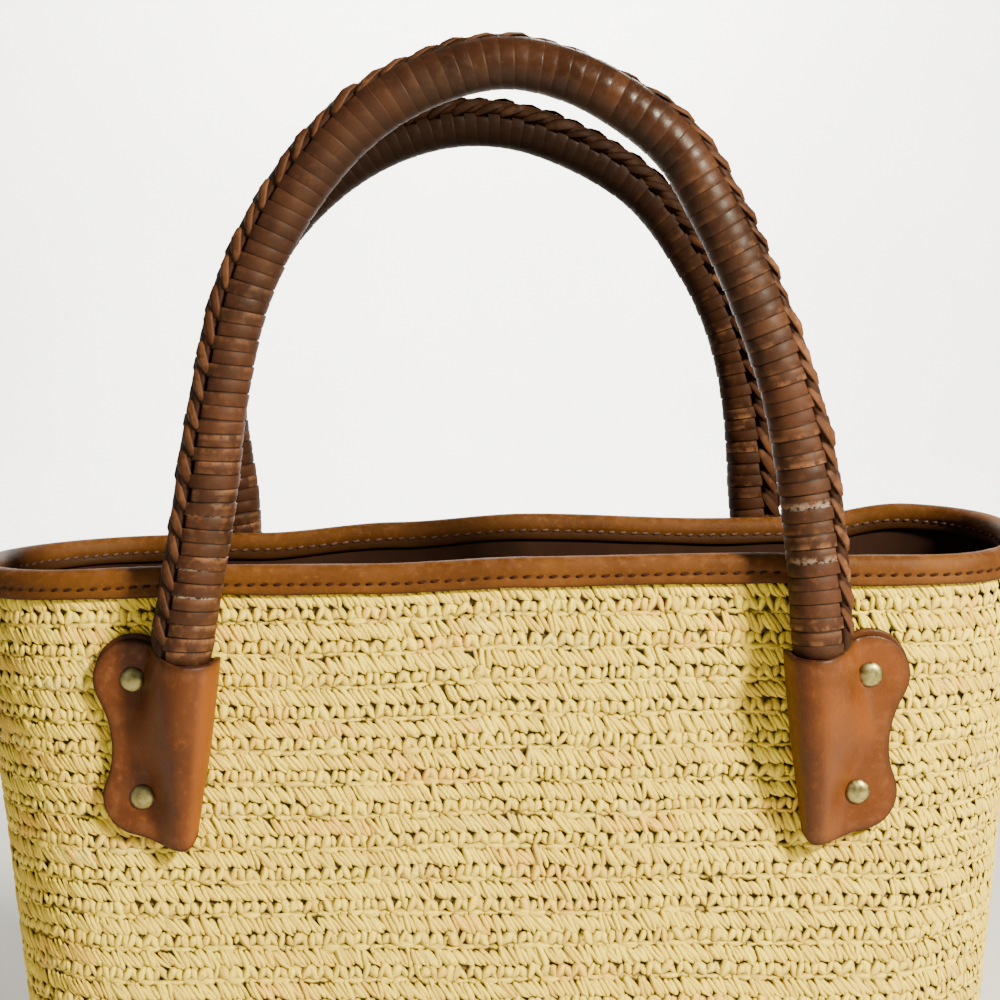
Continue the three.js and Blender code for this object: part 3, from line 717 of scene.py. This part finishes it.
def binding_section():
    """Outward from the body's outer face, up from the wall's top edge, and the dark of the edge, which in the
    stitch groove is painted shade.
    """
    half = RIM_FACE - RIM_MIDDLE
    rows = [(GAP, -BINDING_LEG + 0.2, 1), (GAP + 0.5, -BINDING_LEG, 1), (RIM_FACE - 0.45, -BINDING_LEG, 1),
            (RIM_FACE - 0.1, -BINDING_LEG + 0.35, 0.6), (RIM_FACE + 0.12, -BINDING_LEG + 1.2, 0.1),
            (RIM_FACE + 0.06, STITCH_LINE - STITCH_GROOVE, 0), (RIM_FACE - STITCH_SINK, STITCH_LINE, 0.25),
            (RIM_FACE + 0.1, STITCH_LINE + STITCH_GROOVE, 0), (RIM_FACE + 0.25, -0.6, 0)]
    other_leg = [(2 * RIM_MIDDLE - out, up, dark) for out, up, dark in reversed(rows)]
    for angle in np.radians(np.arange(10, 171, 16)):
        swell = 1 + 0.05 * math.sin(2 * angle) ** 2
        rows.append((RIM_MIDDLE + half * math.cos(angle) * swell, half * math.sin(angle), 0))
    return np.array([*rows, *other_leg, (2 * RIM_MIDDLE - GAP, 0.2, 1), (GAP, 0.2, 1)])


def rim_frame(share):
    """Places on the wall's top edge, and the outward directions there."""
    edge = wall_point(share, WALL_CLIMB, 0.0)
    return edge, unit(wall_point(share, WALL_CLIMB, 5.0) - edge)


def rim_part():
    out, up, dark = binding_section().T
    shares = np.arange(RIM_STEPS)[:, None] / RIM_STEPS
    edge, outward = rim_frame(shares)
    run = shares * ROUND
    swell = 1 + 0.05 * wave_noise(run, 60.0, 91) + 0.03 * wave_noise(run, 15.0, 92)
    high = up + np.where(up < -4, 0.25 * wave_noise(run, 35.0, 93), 0.0)
    thick = np.where(up > 0.3, RIM_MIDDLE + (out - RIM_MIDDLE) * swell, out)
    points = edge + outward * thick[..., None] + UP * high[..., None]
    # Painted shade: inside, the binding is painted dark from its stitches down, as shade falls inside the bag
    groove = STITCH_LINE + STITCH_GROOVE * np.array([-1, 0, 1])
    painted_shade = np.interp(up, [*groove, 3.0], [0.98, 0.85, 0.3, 0.08])
    painted_shade = painted_shade * smoothstep(out, RIM_MIDDLE - 0.5, RIM_MIDDLE - 2.5)
    tone = 0.5 + 0.22 * wave_noise(run, 80.0, 94)
    wear = np.clip(up / BINDING_ROUND, 0, 1) ** 2 * 0.3
    faces = grid_faces(RIM_STEPS, len(out), True, True)[:, ::-1]
    return points, [faces], {"finish": stacked(tone, np.maximum(dark * 0.8, painted_shade), wear)}


def stitches_part(inside):
    """A row of stitches round the rim, on its outer face or on its inner one."""
    way = -1 if inside else 1
    count = int(ROUND / STITCH_PITCH)
    along, depth, slope, radius = RIM_STITCH.T
    centre = (np.arange(count)[:, None] + 0.5 * inside) / count
    base, out = rim_frame(centre + along / ROUND * random.normal(1, 0.07, (count, 1)))
    off = RIM_MIDDLE + way * (RIM_FACE - STITCH_SINK + depth - RIM_MIDDLE)
    rise = STITCH_LINE + slope * way + random.normal(0, 0.09, (count, 1))
    path = base + out * off[:, None] + UP * rise[..., None]
    forward = unit(np.gradient(path, axis=1))
    over = square_to(forward, way * out)
    across = np.cross(forward, over)
    angles = 2 * np.pi * np.arange(6)[:, None] / 6
    ring = path[:, 1:-1, None] + radius[1:-1, None, None] * (
        over[:, 1:-1, None] * np.cos(angles) * 0.8 + across[:, 1:-1, None] * np.sin(angles))
    return strand_points(path, ring), strand_faces(count, len(along) - 2, len(angles)), {}


make_piece("rim_roll", [rim_part()], [RIM_HIDE], "rim_binding")
make_piece("rim_stitches_outer", [stitches_part(0)], [BROWN_THREAD])
make_piece("rim_stitches_inner", [stitches_part(1)], [INNER_THREAD])


# Feet, handles and braids

def foot_point(side, hand, out, away, up):
    """A point of a tab's frame in the bag's."""
    lean = math.radians(FOOT_LEANS[side][hand])
    x = FOOT_ACROSS + out * math.cos(lean) - up * math.sin(lean)
    z = RIM_HEIGHT + FOOT_RISE + out * math.sin(lean) + up * math.cos(lean)
    return stacked(HANDS[hand] * x, -SIDES[side] * (PANEL_HALF_DEPTH + GAP + away), z)


def facing_out(side, hand, faces):
    """Faces of a tab's frame, turned over where that frame is a mirrored one."""
    return [group[:, ::-1] for group in faces] if HANDS[hand] * SIDES[side] > 0 else faces


def curve_through(points, per_span=40):
    """A centripetal curve through points, as in the solids."""
    knots = np.vstack([2 * points[0] - points[1], points, 2 * points[-1] - points[-2]])
    line = []
    for p0, p1, p2, p3 in zip(knots[:-3], knots[1:-2], knots[2:-1], knots[3:]):
        d0, d1, d2 = (np.linalg.norm(b - a) ** 0.5 for a, b in ((p0, p1), (p1, p2), (p2, p3)))
        start = ((p1 - p0) / d0 - (p2 - p0) / (d0 + d1) + (p2 - p1) / d1) * d1
        end = ((p2 - p1) / d1 - (p3 - p1) / (d1 + d2) + (p3 - p2) / d2) * d1
        u = np.linspace(0, 1, per_span, endpoint=False)[:, None]
        line.append((2 * u ** 3 - 3 * u ** 2 + 1) * p1 + (u ** 3 - 2 * u ** 2 + u) * start
                    + (3 * u ** 2 - 2 * u ** 3) * p2 + (u ** 3 - u ** 2) * end)
    return np.vstack([*line, points[-1:]])


# The legs are thicker over the tabs
LEG_SWELL = 0.095
# The tail's end in the sleeve: out, away, up
TAIL_END = (-2.6, 7.5, -50)
# The braid's turn is spread over the handle from this far over one mouth to this far over the other
TURN_START = 6.0


class HandleLine:
    """A handle's centre line by length, with its outer and front directions."""

    def __init__(self, side):
        axis = -SIDES[side] * (PANEL_HALF_DEPTH + GAP + SLEEVE_AXIS)
        feet = [foot_point(side, hand, 0, SLEEVE_AXIS, 0) for hand in HANDS]
        tails = [foot_point(side, hand, *TAIL_END) for hand in HANDS]
        route = [np.array([across, axis, RIM_HEIGHT + rise]) for across, rise in HANDLE_ROUTES[side]]
        self.line = curve_through(np.array([tails[0], feet[0], *route, feet[1], tails[1]]))
        self.lengths = lengths_along(self.line)
        self.first, self.last = (
            self.lengths[np.argmin(np.linalg.norm(self.line - foot, axis=1))] for foot in feet)
        self.turn_column = 1 + list(SIDES).index(side)

    def at(self, length):
        before, centre, after = (place_along(self.line, self.lengths, length + step) for step in (-2.0, 0, 2.0))
        along = unit(after - before)
        outward = unit(np.cross(np.array([0, -1.0, 0]), along))
        return centre, outward, np.cross(along, outward)

    def radius(self, length):
        rise = self.at(length)[0][..., 2] - RIM_HEIGHT
        above_mouth = np.minimum(length - self.first, self.last - length)
        return HANDLE_RADIUS * (1 + LEG_SWELL * smoothstep(rise, 62, 28) * smoothstep(above_mouth, -2, 11))

    def share(self, length):
        return np.clip((length - self.first - TURN_START) / (self.last - self.first - 2 * TURN_START), 0, 1)

    def arch(self, length):
        """How far a place is up in the arch, from 0 on the legs to 1."""
        return hill(self.share(length), 0.48, 0.27, 4)

    def turn(self, length):
        """The braid's turn at a place, in degrees."""
        return eased_column(BRAID_TURNS, self.turn_column, self.share(length))

    def off(self, length, angle, radius):
        """A point at an angle in degrees from the outer side towards the front."""
        centre, outward, front = self.at(length)
        turn = np.radians(angle)
        return centre + (outward * np.cos(turn)[..., None] + front * np.sin(turn)[..., None]) * radius[..., None]


WRAP = 4.7
SLEEVE_DEPTH = 16.0
# One wrap of lace: share of its width, sink of its surface, painted shade in the groove at its edge, wear
BAND_EDGE = 0.92
WRAP_PROFILE = np.array([
    (0.0, 0.46, 1.0, 0), (0.045, 0.25, 0.6, 0), (0.1, 0.07, 0.05, 0.35), (0.5, 0.0, 0, 0.05),
    (BAND_EDGE, 0.02, 0, 0.75), (0.975, 0.22, 0.35, 0.4),
])
# Angles round the handle: from the lace's edge beside the braid, and from the braid's middle
EDGE_ANGLES = np.array([-9, -3, -1.2, 0.4, 2.0, 6.0])
ROUND_ANGLES = np.linspace(58, 302, 21)
# Edges of the lower and the upper wraps beside the braid, in degrees from its middle
LOWER_EDGE, UPPER_EDGE = 41.0, 33.0
SHINGLE = 0.26
LACE_SINK = 1.25
TAIL_SIZE = 0.86
POLISH_ANGLE = 50
# Places where the lace is frayed: hand, rise over the rim, how much in the groove and on the band beside it
FRAYED = {
    "front": [(-1, 19.7, 0.32, 0), (-1, 1.6, 0.4, 0), (-1, -10.1, 0.45, 0), (1, 19.5, 0.4, 0.42),
              (1, 1.1, 0.36, 0.38)],
    "back": [],
}


def handle_piece(side):
    _, _, lace_tone, arch_painted_shade, hand_polish = HANDLE_LOOKS[side]
    line = HandleLine(side)
    start, end = line.first - SLEEVE_DEPTH, line.last + SLEEVE_DEPTH
    count = int((end - start) / WRAP)
    pitch = (end - start) / count
    each = (count, 1)
    wrap = np.arange(count)[:, None]
    upper = wrap % 2
    along, depth, groove, rubbed = WRAP_PROFILE.T

    def rows_of(values):
        return np.broadcast_to(values, (count, len(along))).reshape(-1, 1)

    # Values of the rows of points along the handle
    width = (1 + random.normal(0, 0.06, each)).clip(0.9, 1.02)
    length = rows_of(start + (wrap + along * width) * pitch)
    share, arch = line.share(length), line.arch(length)
    crown = hill(share, 0.5, 0.2, 4)
    shingle = SHINGLE * (1 - (upper + along) / 2)
    sink = rows_of(depth * np.where(upper, 0.55, 1.15) + shingle + np.abs(random.normal(0, 0.06, each)))
    sink = sink * (1 - 0.7 * crown)
    # Painted shade in the grooves between the wraps, fainter over the crown
    dark = rows_of(groove) * (1 - 0.65 * crown)
    wear = rows_of(rubbed * random.uniform(0, 1, each) ** 1.5)
    tone = rows_of((lace_tone + random.normal(0, 0.11, each)).clip(0, 1))
    lace_edge = rows_of(np.where(upper, UPPER_EDGE, LOWER_EDGE) + random.normal(0, 1.2, each))
    phase = rows_of(random.uniform(0, 6.28, each))
    # The points round the handle, from the middle of the braid
    near = lace_edge + EDGE_ANGLES
    round_handle = np.repeat(ROUND_ANGLES[None, :], len(near), 0)
    spread = np.concatenate([np.zeros_like(lace_edge), near, round_handle, 360 - near[:, ::-1]], 1)
    degrees = spread + line.turn(length)
    angle = np.radians(degrees)
    from_edge = np.minimum(spread, 360 - spread) - lace_edge
    under = smoothstep(from_edge, 0.2, -1.4)
    lift = 0.3 * hill(from_edge, 6, 7)
    tilt = 0.75 * smoothstep(share, 0.95, 0.4)
    where = length - tilt * np.cos(angle) + 0.12 * np.sin(2 * angle + phase)
    taper = smoothstep(np.minimum(length - start, end - length), -1, SLEEVE_DEPTH)
    radius = line.radius(length) - sink * (1 - under) - LACE_SINK * under + lift
    points = line.off(where, degrees, radius * mix(TAIL_SIZE, 1.0, taper))
    # The finish: painted shade in the grooves, where the lace goes under the braid, on the inner side of the arch
    # and up in the arch; rubbed on the bands of the legs
    underside_painted_shade = 0.4 * smoothstep(-np.cos(angle), 0.1, 0.9)
    painted_shade = np.maximum(np.clip(dark + under, 0, 1), (arch_painted_shade + underside_painted_shade).clip(0, 0.98) * arch)
    finish = stacked(tone, painted_shade, wear * (1 - under) * (1 - 0.85 * arch))
    held = hand_polish * smoothstep(share, 0.42, 0.55) * smoothstep(share, 0.74, 0.62) * (1 - rows_of(groove))
    polish = held * smoothstep(np.cos(np.radians(degrees - POLISH_ANGLE)), 0.1, 0.7)
    fray = np.zeros_like(polish)
    for hand, rise, in_groove, on_band in FRAYED[side]:
        torn = in_groove * rows_of(groove > 0.3) + on_band * rows_of(along == BAND_EDGE)
        torn = torn * hill(points[..., 2], RIM_HEIGHT + rise, 2, 4) * (points[..., 0] * hand > 0)
        fray += torn * smoothstep(np.sin(angle), 0.2, 0.8)
    attributes = {"finish": finish, "polish": stacked(polish, fray, 0.0)}
    parts = [(points, tube_faces(*degrees.shape), attributes)]
    make_piece(f"lace_{side}", parts, [LACE_HIDES[side]], f"handle_{side}")


BRAID_START = 3.0
# One braid leaf: share along it, angle from its edge to the middle, half width, rise
LEAF = np.array([
    (0.0, 1.32, 0.0, -1.2), (0.14, 1.10, 1.5, 0.0), (0.38, 0.82, 2.1, 1.2), (0.64, 0.54, 2.1, 2.1),
    (0.86, 0.26, 1.3, 2.0), (1.0, 0.05, 0.0, 1.1),
])
LEAF_ROLL = math.radians(26)
LEAF_LENGTH = 12.5
LEAF_THICKNESS = 0.62
LEAF_SPREAD = 0.98 * BRAID_HALF_ANGLE
LEAF_SIZES = (1.12, 0.9)
# Section of a leaf: across, over, painted shade at its edges and bottom, wear
LEAF_SECTION = np.array([
    (1, 0.0, 0.5, 0), (0.62, 0.7, 0, 0.4), (0, 0.95, 0, 0.7), (-0.62, 0.7, 0, 0.4), (-1, 0.0, 0.5, 0),
    (0, -0.8, 1.0, 0),
])
# Painted shade of a leaf's rings from its edge to the middle
LEAF_PAINTED_SHADES = (0.45, 0.05, 0, 0.1)
# Section of the core that the leaves cross over: share of the half angle, rise
CORE = np.array([(-1.1, -0.4), (-0.65, 1.8), (0, 2.9), (0.65, 1.8), (1.1, -0.4), (0, -0.9)])
CORE_STEPS = 160
# The core under the leaves: a tone, painted dark as shade, and no wear
CORE_TONE_AND_PAINTED_SHADE = (0.4, 0.85, 0.0)


def leaves_part(side, line, start, count, pitch, hand):
    """The braid's leaves on one side of its middle."""
    _, _, lace_tone, arch_painted_shade, _ = HANDLE_LOOKS[side]
    each = (count, 1)
    run, place, half_width, rise = LEAF.T
    out, over_out, edge_dark, rubbed = LEAF_SECTION.T
    rings, sides = len(LEAF) - 2, len(LEAF_SECTION)
    order = np.arange(count)[:, None]
    begin = start + (order + (0.5 if hand > 0 else 0.0)) * pitch
    size = random.normal(1, 0.08, each)
    big = np.where(order % 2 == 0, *LEAF_SIZES)
    length = begin + run * LEAF_LENGTH * size
    angle = line.turn(length) + hand * (place * LEAF_SPREAD + random.normal(0, 0.8, each))
    radius = line.radius(length) + rise * mix(1.0, big, 0.5) + random.normal(0, 0.1, each)
    path = line.off(length, angle, radius)
    forward = unit(np.gradient(path, axis=1))
    over = square_to(forward, unit(path - line.at(length)[0]))
    aside = square_to(forward, hand * (line.off(length, angle + 1.0, radius) - path))
    across = (aside * math.cos(LEAF_ROLL) - over * math.sin(LEAF_ROLL))[:, 1:-1, None]
    upright = (over * math.cos(LEAF_ROLL) + aside * math.sin(LEAF_ROLL))[:, 1:-1, None]
    wide = (half_width * size * big)[:, 1:-1, None, None]
    ring = path[:, 1:-1, None] + across * out[:, None] * wide + upright * over_out[:, None] * LEAF_THICKNESS
    tone = (lace_tone + 0.08 + random.normal(0, 0.14, each)).clip(0, 1)
    # Painted shade: dark at the leaf's tips, edges and bottom, and up in the arch
    painted_shade = np.maximum(tipped(1.0, np.repeat(LEAF_PAINTED_SHADES, sides), 0.8), tipped(0, np.tile(edge_dark, rings), 0))
    painted_shade = np.maximum(painted_shade, arch_painted_shade * line.arch(begin))
    wear = tipped(0, np.tile(rubbed, rings), 0) * random.uniform(0, 1, each) ** 2
    return strand_points(path, ring), strand_faces(count, rings, sides), {"finish": stacked(tone, painted_shade, wear)}


def braid_piece(side):
    line = HandleLine(side)
    start, end = line.first + BRAID_START, line.last - BRAID_START
    count = int((end - start - LEAF_LENGTH) / (2 * WRAP)) + 1
    pitch = (end - start - LEAF_LENGTH) / count
    parts = [leaves_part(side, line, start, count, pitch, hand) for hand in (-1, 1)]
    length = np.linspace(start - 1, end + 1, CORE_STEPS)[:, None]
    taper = smoothstep(np.minimum(length - length[0], length[-1] - length), -1, 6)
    core = line.off(length, line.turn(length) + CORE[:, 0] * BRAID_HALF_ANGLE,
                    line.radius(length) - 0.3 + CORE[:, 1] * taper)
    finish = np.tile(CORE_TONE_AND_PAINTED_SHADE, (CORE_STEPS * len(CORE), 1))
    parts.append((core, tube_faces(CORE_STEPS, len(CORE)), {"finish": finish}))
    make_piece(f"plait_{side}", parts, [BRAID_HIDES[side]], f"braid_{side}")


for side in SIDES:
    handle_piece(side)
    braid_piece(side)


# Tabs: one sheet of leather each, from the back leaf's edge round the fold to the front leaf's edge

TAB_ROWS = 46
FOLD_STEPS = 18
LEAF_STEPS = 24
SHEET = TAB_LEATHER - 0.08
SHEET_ROUND = 0.35
BACK_LEAF_STEP = 2.0
# The sleeve's mouth and the tab's foot: out, up. From the row at FRONT_ROW on they run along the front leaf.
MOUTH_EDGE = np.array([
    (-12.2, 5.2), (-9.4, 3.4), (-5.0, 2.7), (-1.0, 2.4), (3.0, 2.5), (7.0, 3.4), (10.8, 4.6), (13.7, 5.3),
])
FOOT_EDGE = np.array([
    (-10.0, -58.0), (-9.5, -61.5), (-8.4, -63.9), (-6.6, -65.0), (-4.6, -65.3), (-1.0, -65.2), (2.8, -64.6),
    (7.5, -62.95),
])
FRONT_ROW = 4
# Arcs of the lobes in degrees: the lower edge, the lower lobe's side, the upper lobe's side and the top edge
FOOT_ARC, LOWER_ARC, UPPER_ARC, TOP_ARC = (-85, -40), (-40, 18), (-35, 55), (100, 55)
# Painted light and shade of the tabs: tone at the first place and at the second, and the two places out; each tab
# is painted lighter on the side towards the key light
TAB_PAINTED_LIGHT = {"left": (0.92, 0.42, -9.5, -4.5), "right": (0.30, 0.72, -7.0, 0.0)}


def lobe_arc(level, arc, count):
    out, up = TAB_RIVETS[level]
    turn = np.radians(np.linspace(*arc, count))
    return np.stack([out + TAB_LOBE * np.cos(turn), up + TAB_LOBE * np.sin(turn)], -1)


def leaf_edges():
    """The flange's outer edge from its foot up, its lower edge and its top edge, both from the sleeve out."""
    lower, upper = lobe_arc("lower", LOWER_ARC, 14), lobe_arc("upper", UPPER_ARC, 20)
    leaving, coming = (
        TAB_LOBE * np.array([-math.sin(turn), math.cos(turn)])
        for turn in np.radians([LOWER_ARC[1], UPPER_ARC[0]]))
    u = np.linspace(0, 1, 16)[:, None]
    waist = bezier(lower[-1], lower[-1] + leaving / 2, upper[0] - coming, upper[0], u)
    outer = np.vstack([lower, waist[1:-1], upper])
    low = curve_through(np.vstack([FOOT_EDGE[FRONT_ROW:], lobe_arc("lower", FOOT_ARC, 6)]), 8)
    crest_top = [TAB_FORM[-1, 3], smooth_column(MOUTH_EDGE, 1, TAB_FORM[-1, 3])]
    top = curve_through(np.vstack([crest_top, MOUTH_EDGE[FRONT_ROW:], lobe_arc("upper", TOP_ARC, 5)]), 8)
    return outer, low, top


def tab_form(up):
    return [smooth_column(TAB_FORM, column, up) for column in range(1, TAB_FORM.shape[1])]


def leaf_away(out, up):
    """How far the front leaf's face stands off the panel, falling from the crest to the flange."""
    _, crest, middle, landing, full, flat = tab_form(up)
    low, high = np.zeros_like(out), np.ones_like(out)
    for _ in range(28):
        t = (low + high) / 2
        place = bezier(middle, middle + full, landing - flat, landing, t)
        low, high = np.where(place < out, t, low), np.where(place < out, high, t)
    return mix(TAB_FLANGE, crest, bezier(1, 1, 0, 0, t))


def resampled(line, count):
    lengths = lengths_along(line)
    return place_along(line, lengths, np.linspace(0, lengths[-1], count))


def tab_sheet():
    """Grid of the sheet's outer face in the tab's frame: rows up, columns from the back leaf's edge round."""
    outer, low, top = leaf_edges()
    right, bottom, crown = resampled(outer, TAB_ROWS), resampled(low, LEAF_STEPS), resampled(top, LEAF_STEPS)
    v = np.linspace(0, 1, TAB_ROWS)
    inner_up = mix(bottom[0, 1], crown[0, 1], v)
    inner = np.stack([tab_form(inner_up)[2], inner_up], -1)
    inner[:, 0] += (bottom[0, 0] - inner[0, 0]) * (1 - v) ** 3 + (crown[0, 0] - inner[-1, 0]) * v ** 3
    u = np.linspace(0, 1, LEAF_STEPS)[None, :, None]
    w = v[:, None, None]
    leaf = (mix(inner[:, None], right[:, None], u) + mix(bottom[None], crown[None], w)
            - mix(mix(bottom[0], bottom[-1], u), mix(crown[0], crown[-1], u), w))
    # The fold, from its back on the panel round its edge to its crest
    turn = np.linspace(-math.pi / 2, math.pi / 2, FOLD_STEPS)
    mouth_out = mix(TAB_FORM[-1, 3], MOUTH_EDGE[0, 0], np.cos(turn))
    foot_out = mix(FOOT_EDGE[FRONT_ROW, 0], FOOT_EDGE[0, 0], np.cos(turn))
    fold_up = mix(smooth_column(FOOT_EDGE, 1, foot_out), smooth_column(MOUTH_EDGE, 1, mouth_out), v[:, None])
    edge, crest, middle = tab_form(fold_up)[:3]
    fold = stacked(mix(middle, edge, np.cos(turn)), crest * (1 + np.sin(turn)) / 2, fold_up)
    # The flange dips round the rivets and swells a little between them
    out, up = leaf[:, :, 0], leaf[:, :, 1]
    away = leaf_away(out, up)
    for rivet_out, rivet_up in TAB_RIVETS.values():
        near = np.hypot(out - rivet_out, up - rivet_up)
        away = away - 0.55 * hill(near, 0, 6.5) + 0.2 * hill(near, 10, 3)
    # The back leaf stands a little higher than the front one at the top
    step = BACK_LEAF_STEP * smoothstep(up, -14, 2) * smoothstep(out, 9, 16)
    back = stacked(out, 0.0, up + step)[:, ::-1]
    return np.concatenate([back, fold[:, 1:-1], stacked(out, away, up)], 1)


def tab_mesh():
    """A tab in its own frame: points, faces, marks of its burnished edge, and dark and wear of its finish; the
    dark is of the edges, with painted shade on the inner faces.
    """
    grid = tab_sheet()
    rows, columns = grid.shape[:2]
    cells = rows * columns
    normals = unit(np.cross(np.gradient(grid, axis=0), np.gradient(grid, axis=1))).reshape(-1, 3)
    outer = grid.reshape(-1, 3)
    inner = outer - normals * SHEET
    # Round the sheet's edge between its two faces
    index = np.arange(cells).reshape(rows, columns)
    border = np.concatenate([index[0], index[1:, -1], index[-1, -2::-1], index[-2:0:-1, 0]])
    middle = (outer + inner)[border] / 2
    outward = unit(np.cross(normals[border], np.roll(middle, -1, 0) - np.roll(middle, 1, 0)))
    edge_outer = outer[border] + outward * SHEET_ROUND - normals[border] * SHEET_ROUND
    edge_inner = inner[border] + outward * SHEET_ROUND + normals[border] * SHEET_ROUND
    points = np.concatenate([outer, inner, edge_outer, edge_inner])
    order = 2 * cells + np.arange(len(border))
    loops = [border, order, order + len(border), border + cells]
    edge_faces = np.concatenate([
        np.stack([near, np.roll(near, -1), np.roll(far, -1), far], -1) for near, far in zip(loops, loops[1:])])
    faces = grid_faces(rows, columns)
    marks = np.repeat([0, 1], [2 * len(faces), len(edge_faces)])
    row, column = index // columns, index % columns
    to_edge = np.minimum(np.minimum(row, rows - 1 - row) * 1.1, (columns - 1 - column) * 0.8).ravel()
    # Dark near the edges and on the edge itself; the inner faces are painted half dark as shade
    dark = np.concatenate([0.75 * np.exp(-to_edge / 1.1), np.full(cells, 0.5), np.full(2 * len(border), 1.0)])
    wear = np.zeros(len(points))
    wear[:cells] = hill(to_edge, 2.5, 1.6) * 0.15
    return points, np.concatenate([faces[:, ::-1], faces + cells, edge_faces]), marks, dark, wear


TAB_POINTS, TAB_FACES, TAB_MARKS, TAB_DARK_EDGES_AND_SHADE, TAB_WEAR = tab_mesh()


def tab_piece(side, hand):
    out, away, up = TAB_POINTS.T
    low_tone, high_tone, low_out, high_out = TAB_PAINTED_LIGHT[hand]
    # Painted light: lighter towards the key light, as the table gives, with a little random tone
    tone = mix(low_tone, high_tone, smoothstep(out, low_out, high_out))
    tone = tone + 0.1 * wave_noise(up + out * 0.6, 40.0, 7)
    part = (foot_point(side, hand, out, away, up), facing_out(side, hand, [TAB_FACES]),
            {"finish": stacked(tone, TAB_DARK_EDGES_AND_SHADE, TAB_WEAR)})
    hides = [TAB_HIDE, BURNISHED]
    make_piece(f"hide_{side}_{hand}", [part], hides, f"tab_{side}_{hand}", TAB_MARKS)


# Rivets: a domed cap with a soft lip outside, a shank, and a flat cap inside

RIVET_SIDES = 28
RIVET_SEAT = TAB_FLANGE - 0.25
RIVET_END = -(GAP + EDGE_STACK + GAP)
# Radius and height of the cap, from its top to the shank, and of the inner cap, from the shank on
RIVET_CAP = np.array([
    (0.0, 1.75), (1.1, 1.70), (2.2, 1.52), (3.1, 1.22), (3.8, 0.82), (4.2, 0.42), (4.4, 0.12), (4.3, -0.12),
    (3.9, -0.2), (1.4, -0.2),
])
RIVET_BACK = np.array([(1.4, -0.1), (3.0, -0.1), (3.2, 0.1), (3.2, 0.55), (3.0, 0.8), (0.0, 0.9)])


def rivet_piece(side, hand, level):
    out, up = TAB_RIVETS[level]
    radius = np.concatenate([RIVET_CAP[:, 0], RIVET_BACK[:, 0]])[:, None]
    away = np.concatenate([RIVET_SEAT + RIVET_CAP[:, 1], RIVET_END - RIVET_BACK[:, 1]])[:, None]
    angles = 2 * np.pi * np.arange(RIVET_SIDES) / RIVET_SIDES
    rings = foot_point(side, hand, out + radius * np.cos(angles), away, up + radius * np.sin(angles))
    points = strand_points(rings[None, :, 0], rings[None, 1:-1])
    faces = facing_out(side, hand, strand_faces(1, len(radius) - 2, RIVET_SIDES))
    make_piece(f"cap_{side}_{hand}_{level}", [(points, faces, {})], [BRASS],
               f"rivet_{side}_{hand}_{level}")


for side in SIDES:
    for hand in HANDS:
        tab_piece(side, hand)
        for level in TAB_RIVETS:
            rivet_piece(side, hand, level)


# Floor, light and camera

def backdrop():
    """A pale floor that curves up into a plain wall."""
    half, behind, before, bend, top, steps = 3000.0, 1500.0, 2500.0, 500.0, 3500.0, 16
    turn = np.linspace(0, math.pi / 2, steps)
    y = np.concatenate([[-before], behind + bend * np.sin(turn), [behind + bend]])
    z = np.concatenate([[0], bend - bend * np.cos(turn), [top]])
    rows = [np.stack([np.full(len(y), x), y, z], -1) for x in (-half, half)]
    mesh = bpy.data.meshes.new("floor")
    mesh.from_pydata((np.concatenate(rows) * MM).tolist(), [], grid_faces(2, len(y)).tolist())
    mesh.shade_smooth()
    mesh.materials.append(plain_material("pale_floor", (0.78, 0.77, 0.74), (0.82, 0.81, 0.78), 3.0, 0.85))
    floor = bpy.data.objects.new("floor", mesh)
    bpy.context.scene.collection.objects.link(floor)


def lamp(name, kind, place, target, power, **settings):
    light = bpy.data.lights.new(name, kind)
    light.energy = power
    for key, value in settings.items():
        setattr(light, key, value)
    holder = bpy.data.objects.new(name, light)
    holder.location = place
    holder.rotation_euler = Vector(np.subtract(target, place)).to_track_quat("-Z", "Y").to_euler()
    bpy.context.scene.collection.objects.link(holder)


backdrop()
# A spot lights the wall behind the bag and none of the bag
lamp("wall_light", "SPOT", (0, 0.75, 1.3), (0, 2.0, 0.45), 560.0,
     spot_size=math.radians(125), spot_blend=0.5, shadow_soft_size=0.2)
lamp("key", "AREA", (0.80, -0.85, 0.95), (0, 0, 0.28), 68.0, size=0.2, color=(1.0, 0.925, 0.70))
lamp("fill", "AREA", (-1.1, -1.3, 0.9), (0, 0, 0.25), 3.0, size=1.2, color=(1.0, 0.96, 0.9))
world = bpy.data.worlds.new("studio")
world.use_nodes = True
world.node_tree.nodes["Background"].inputs["Color"].default_value = (1.0, 0.98, 0.94, 1.0)
world.node_tree.nodes["Background"].inputs["Strength"].default_value = 0.22
bpy.context.scene.world = world

# The photograph's view: focal length and tilt in pixels of a picture as wide as PICTURE
PICTURE = 1000
FOCAL = 1729.0
PITCH = math.atan(160 / FOCAL)
ROLL = math.radians(0.6)
SENSOR = 36.0
EYE = (0, -0.657, 0.3463)
camera_data = bpy.data.cameras.new("camera")
camera_data.sensor_width = SENSOR
camera_data.lens = SENSOR * FOCAL / PICTURE
camera_data.clip_start = 0.01
camera = bpy.data.objects.new("camera", camera_data)
camera.matrix_world = (Matrix.Translation(EYE) @ Matrix.Rotation(math.pi / 2 - PITCH, 4, "X")
                       @ Matrix.Rotation(-ROLL, 4, "Z"))
bpy.context.scene.collection.objects.link(camera)
bpy.context.scene.camera = camera
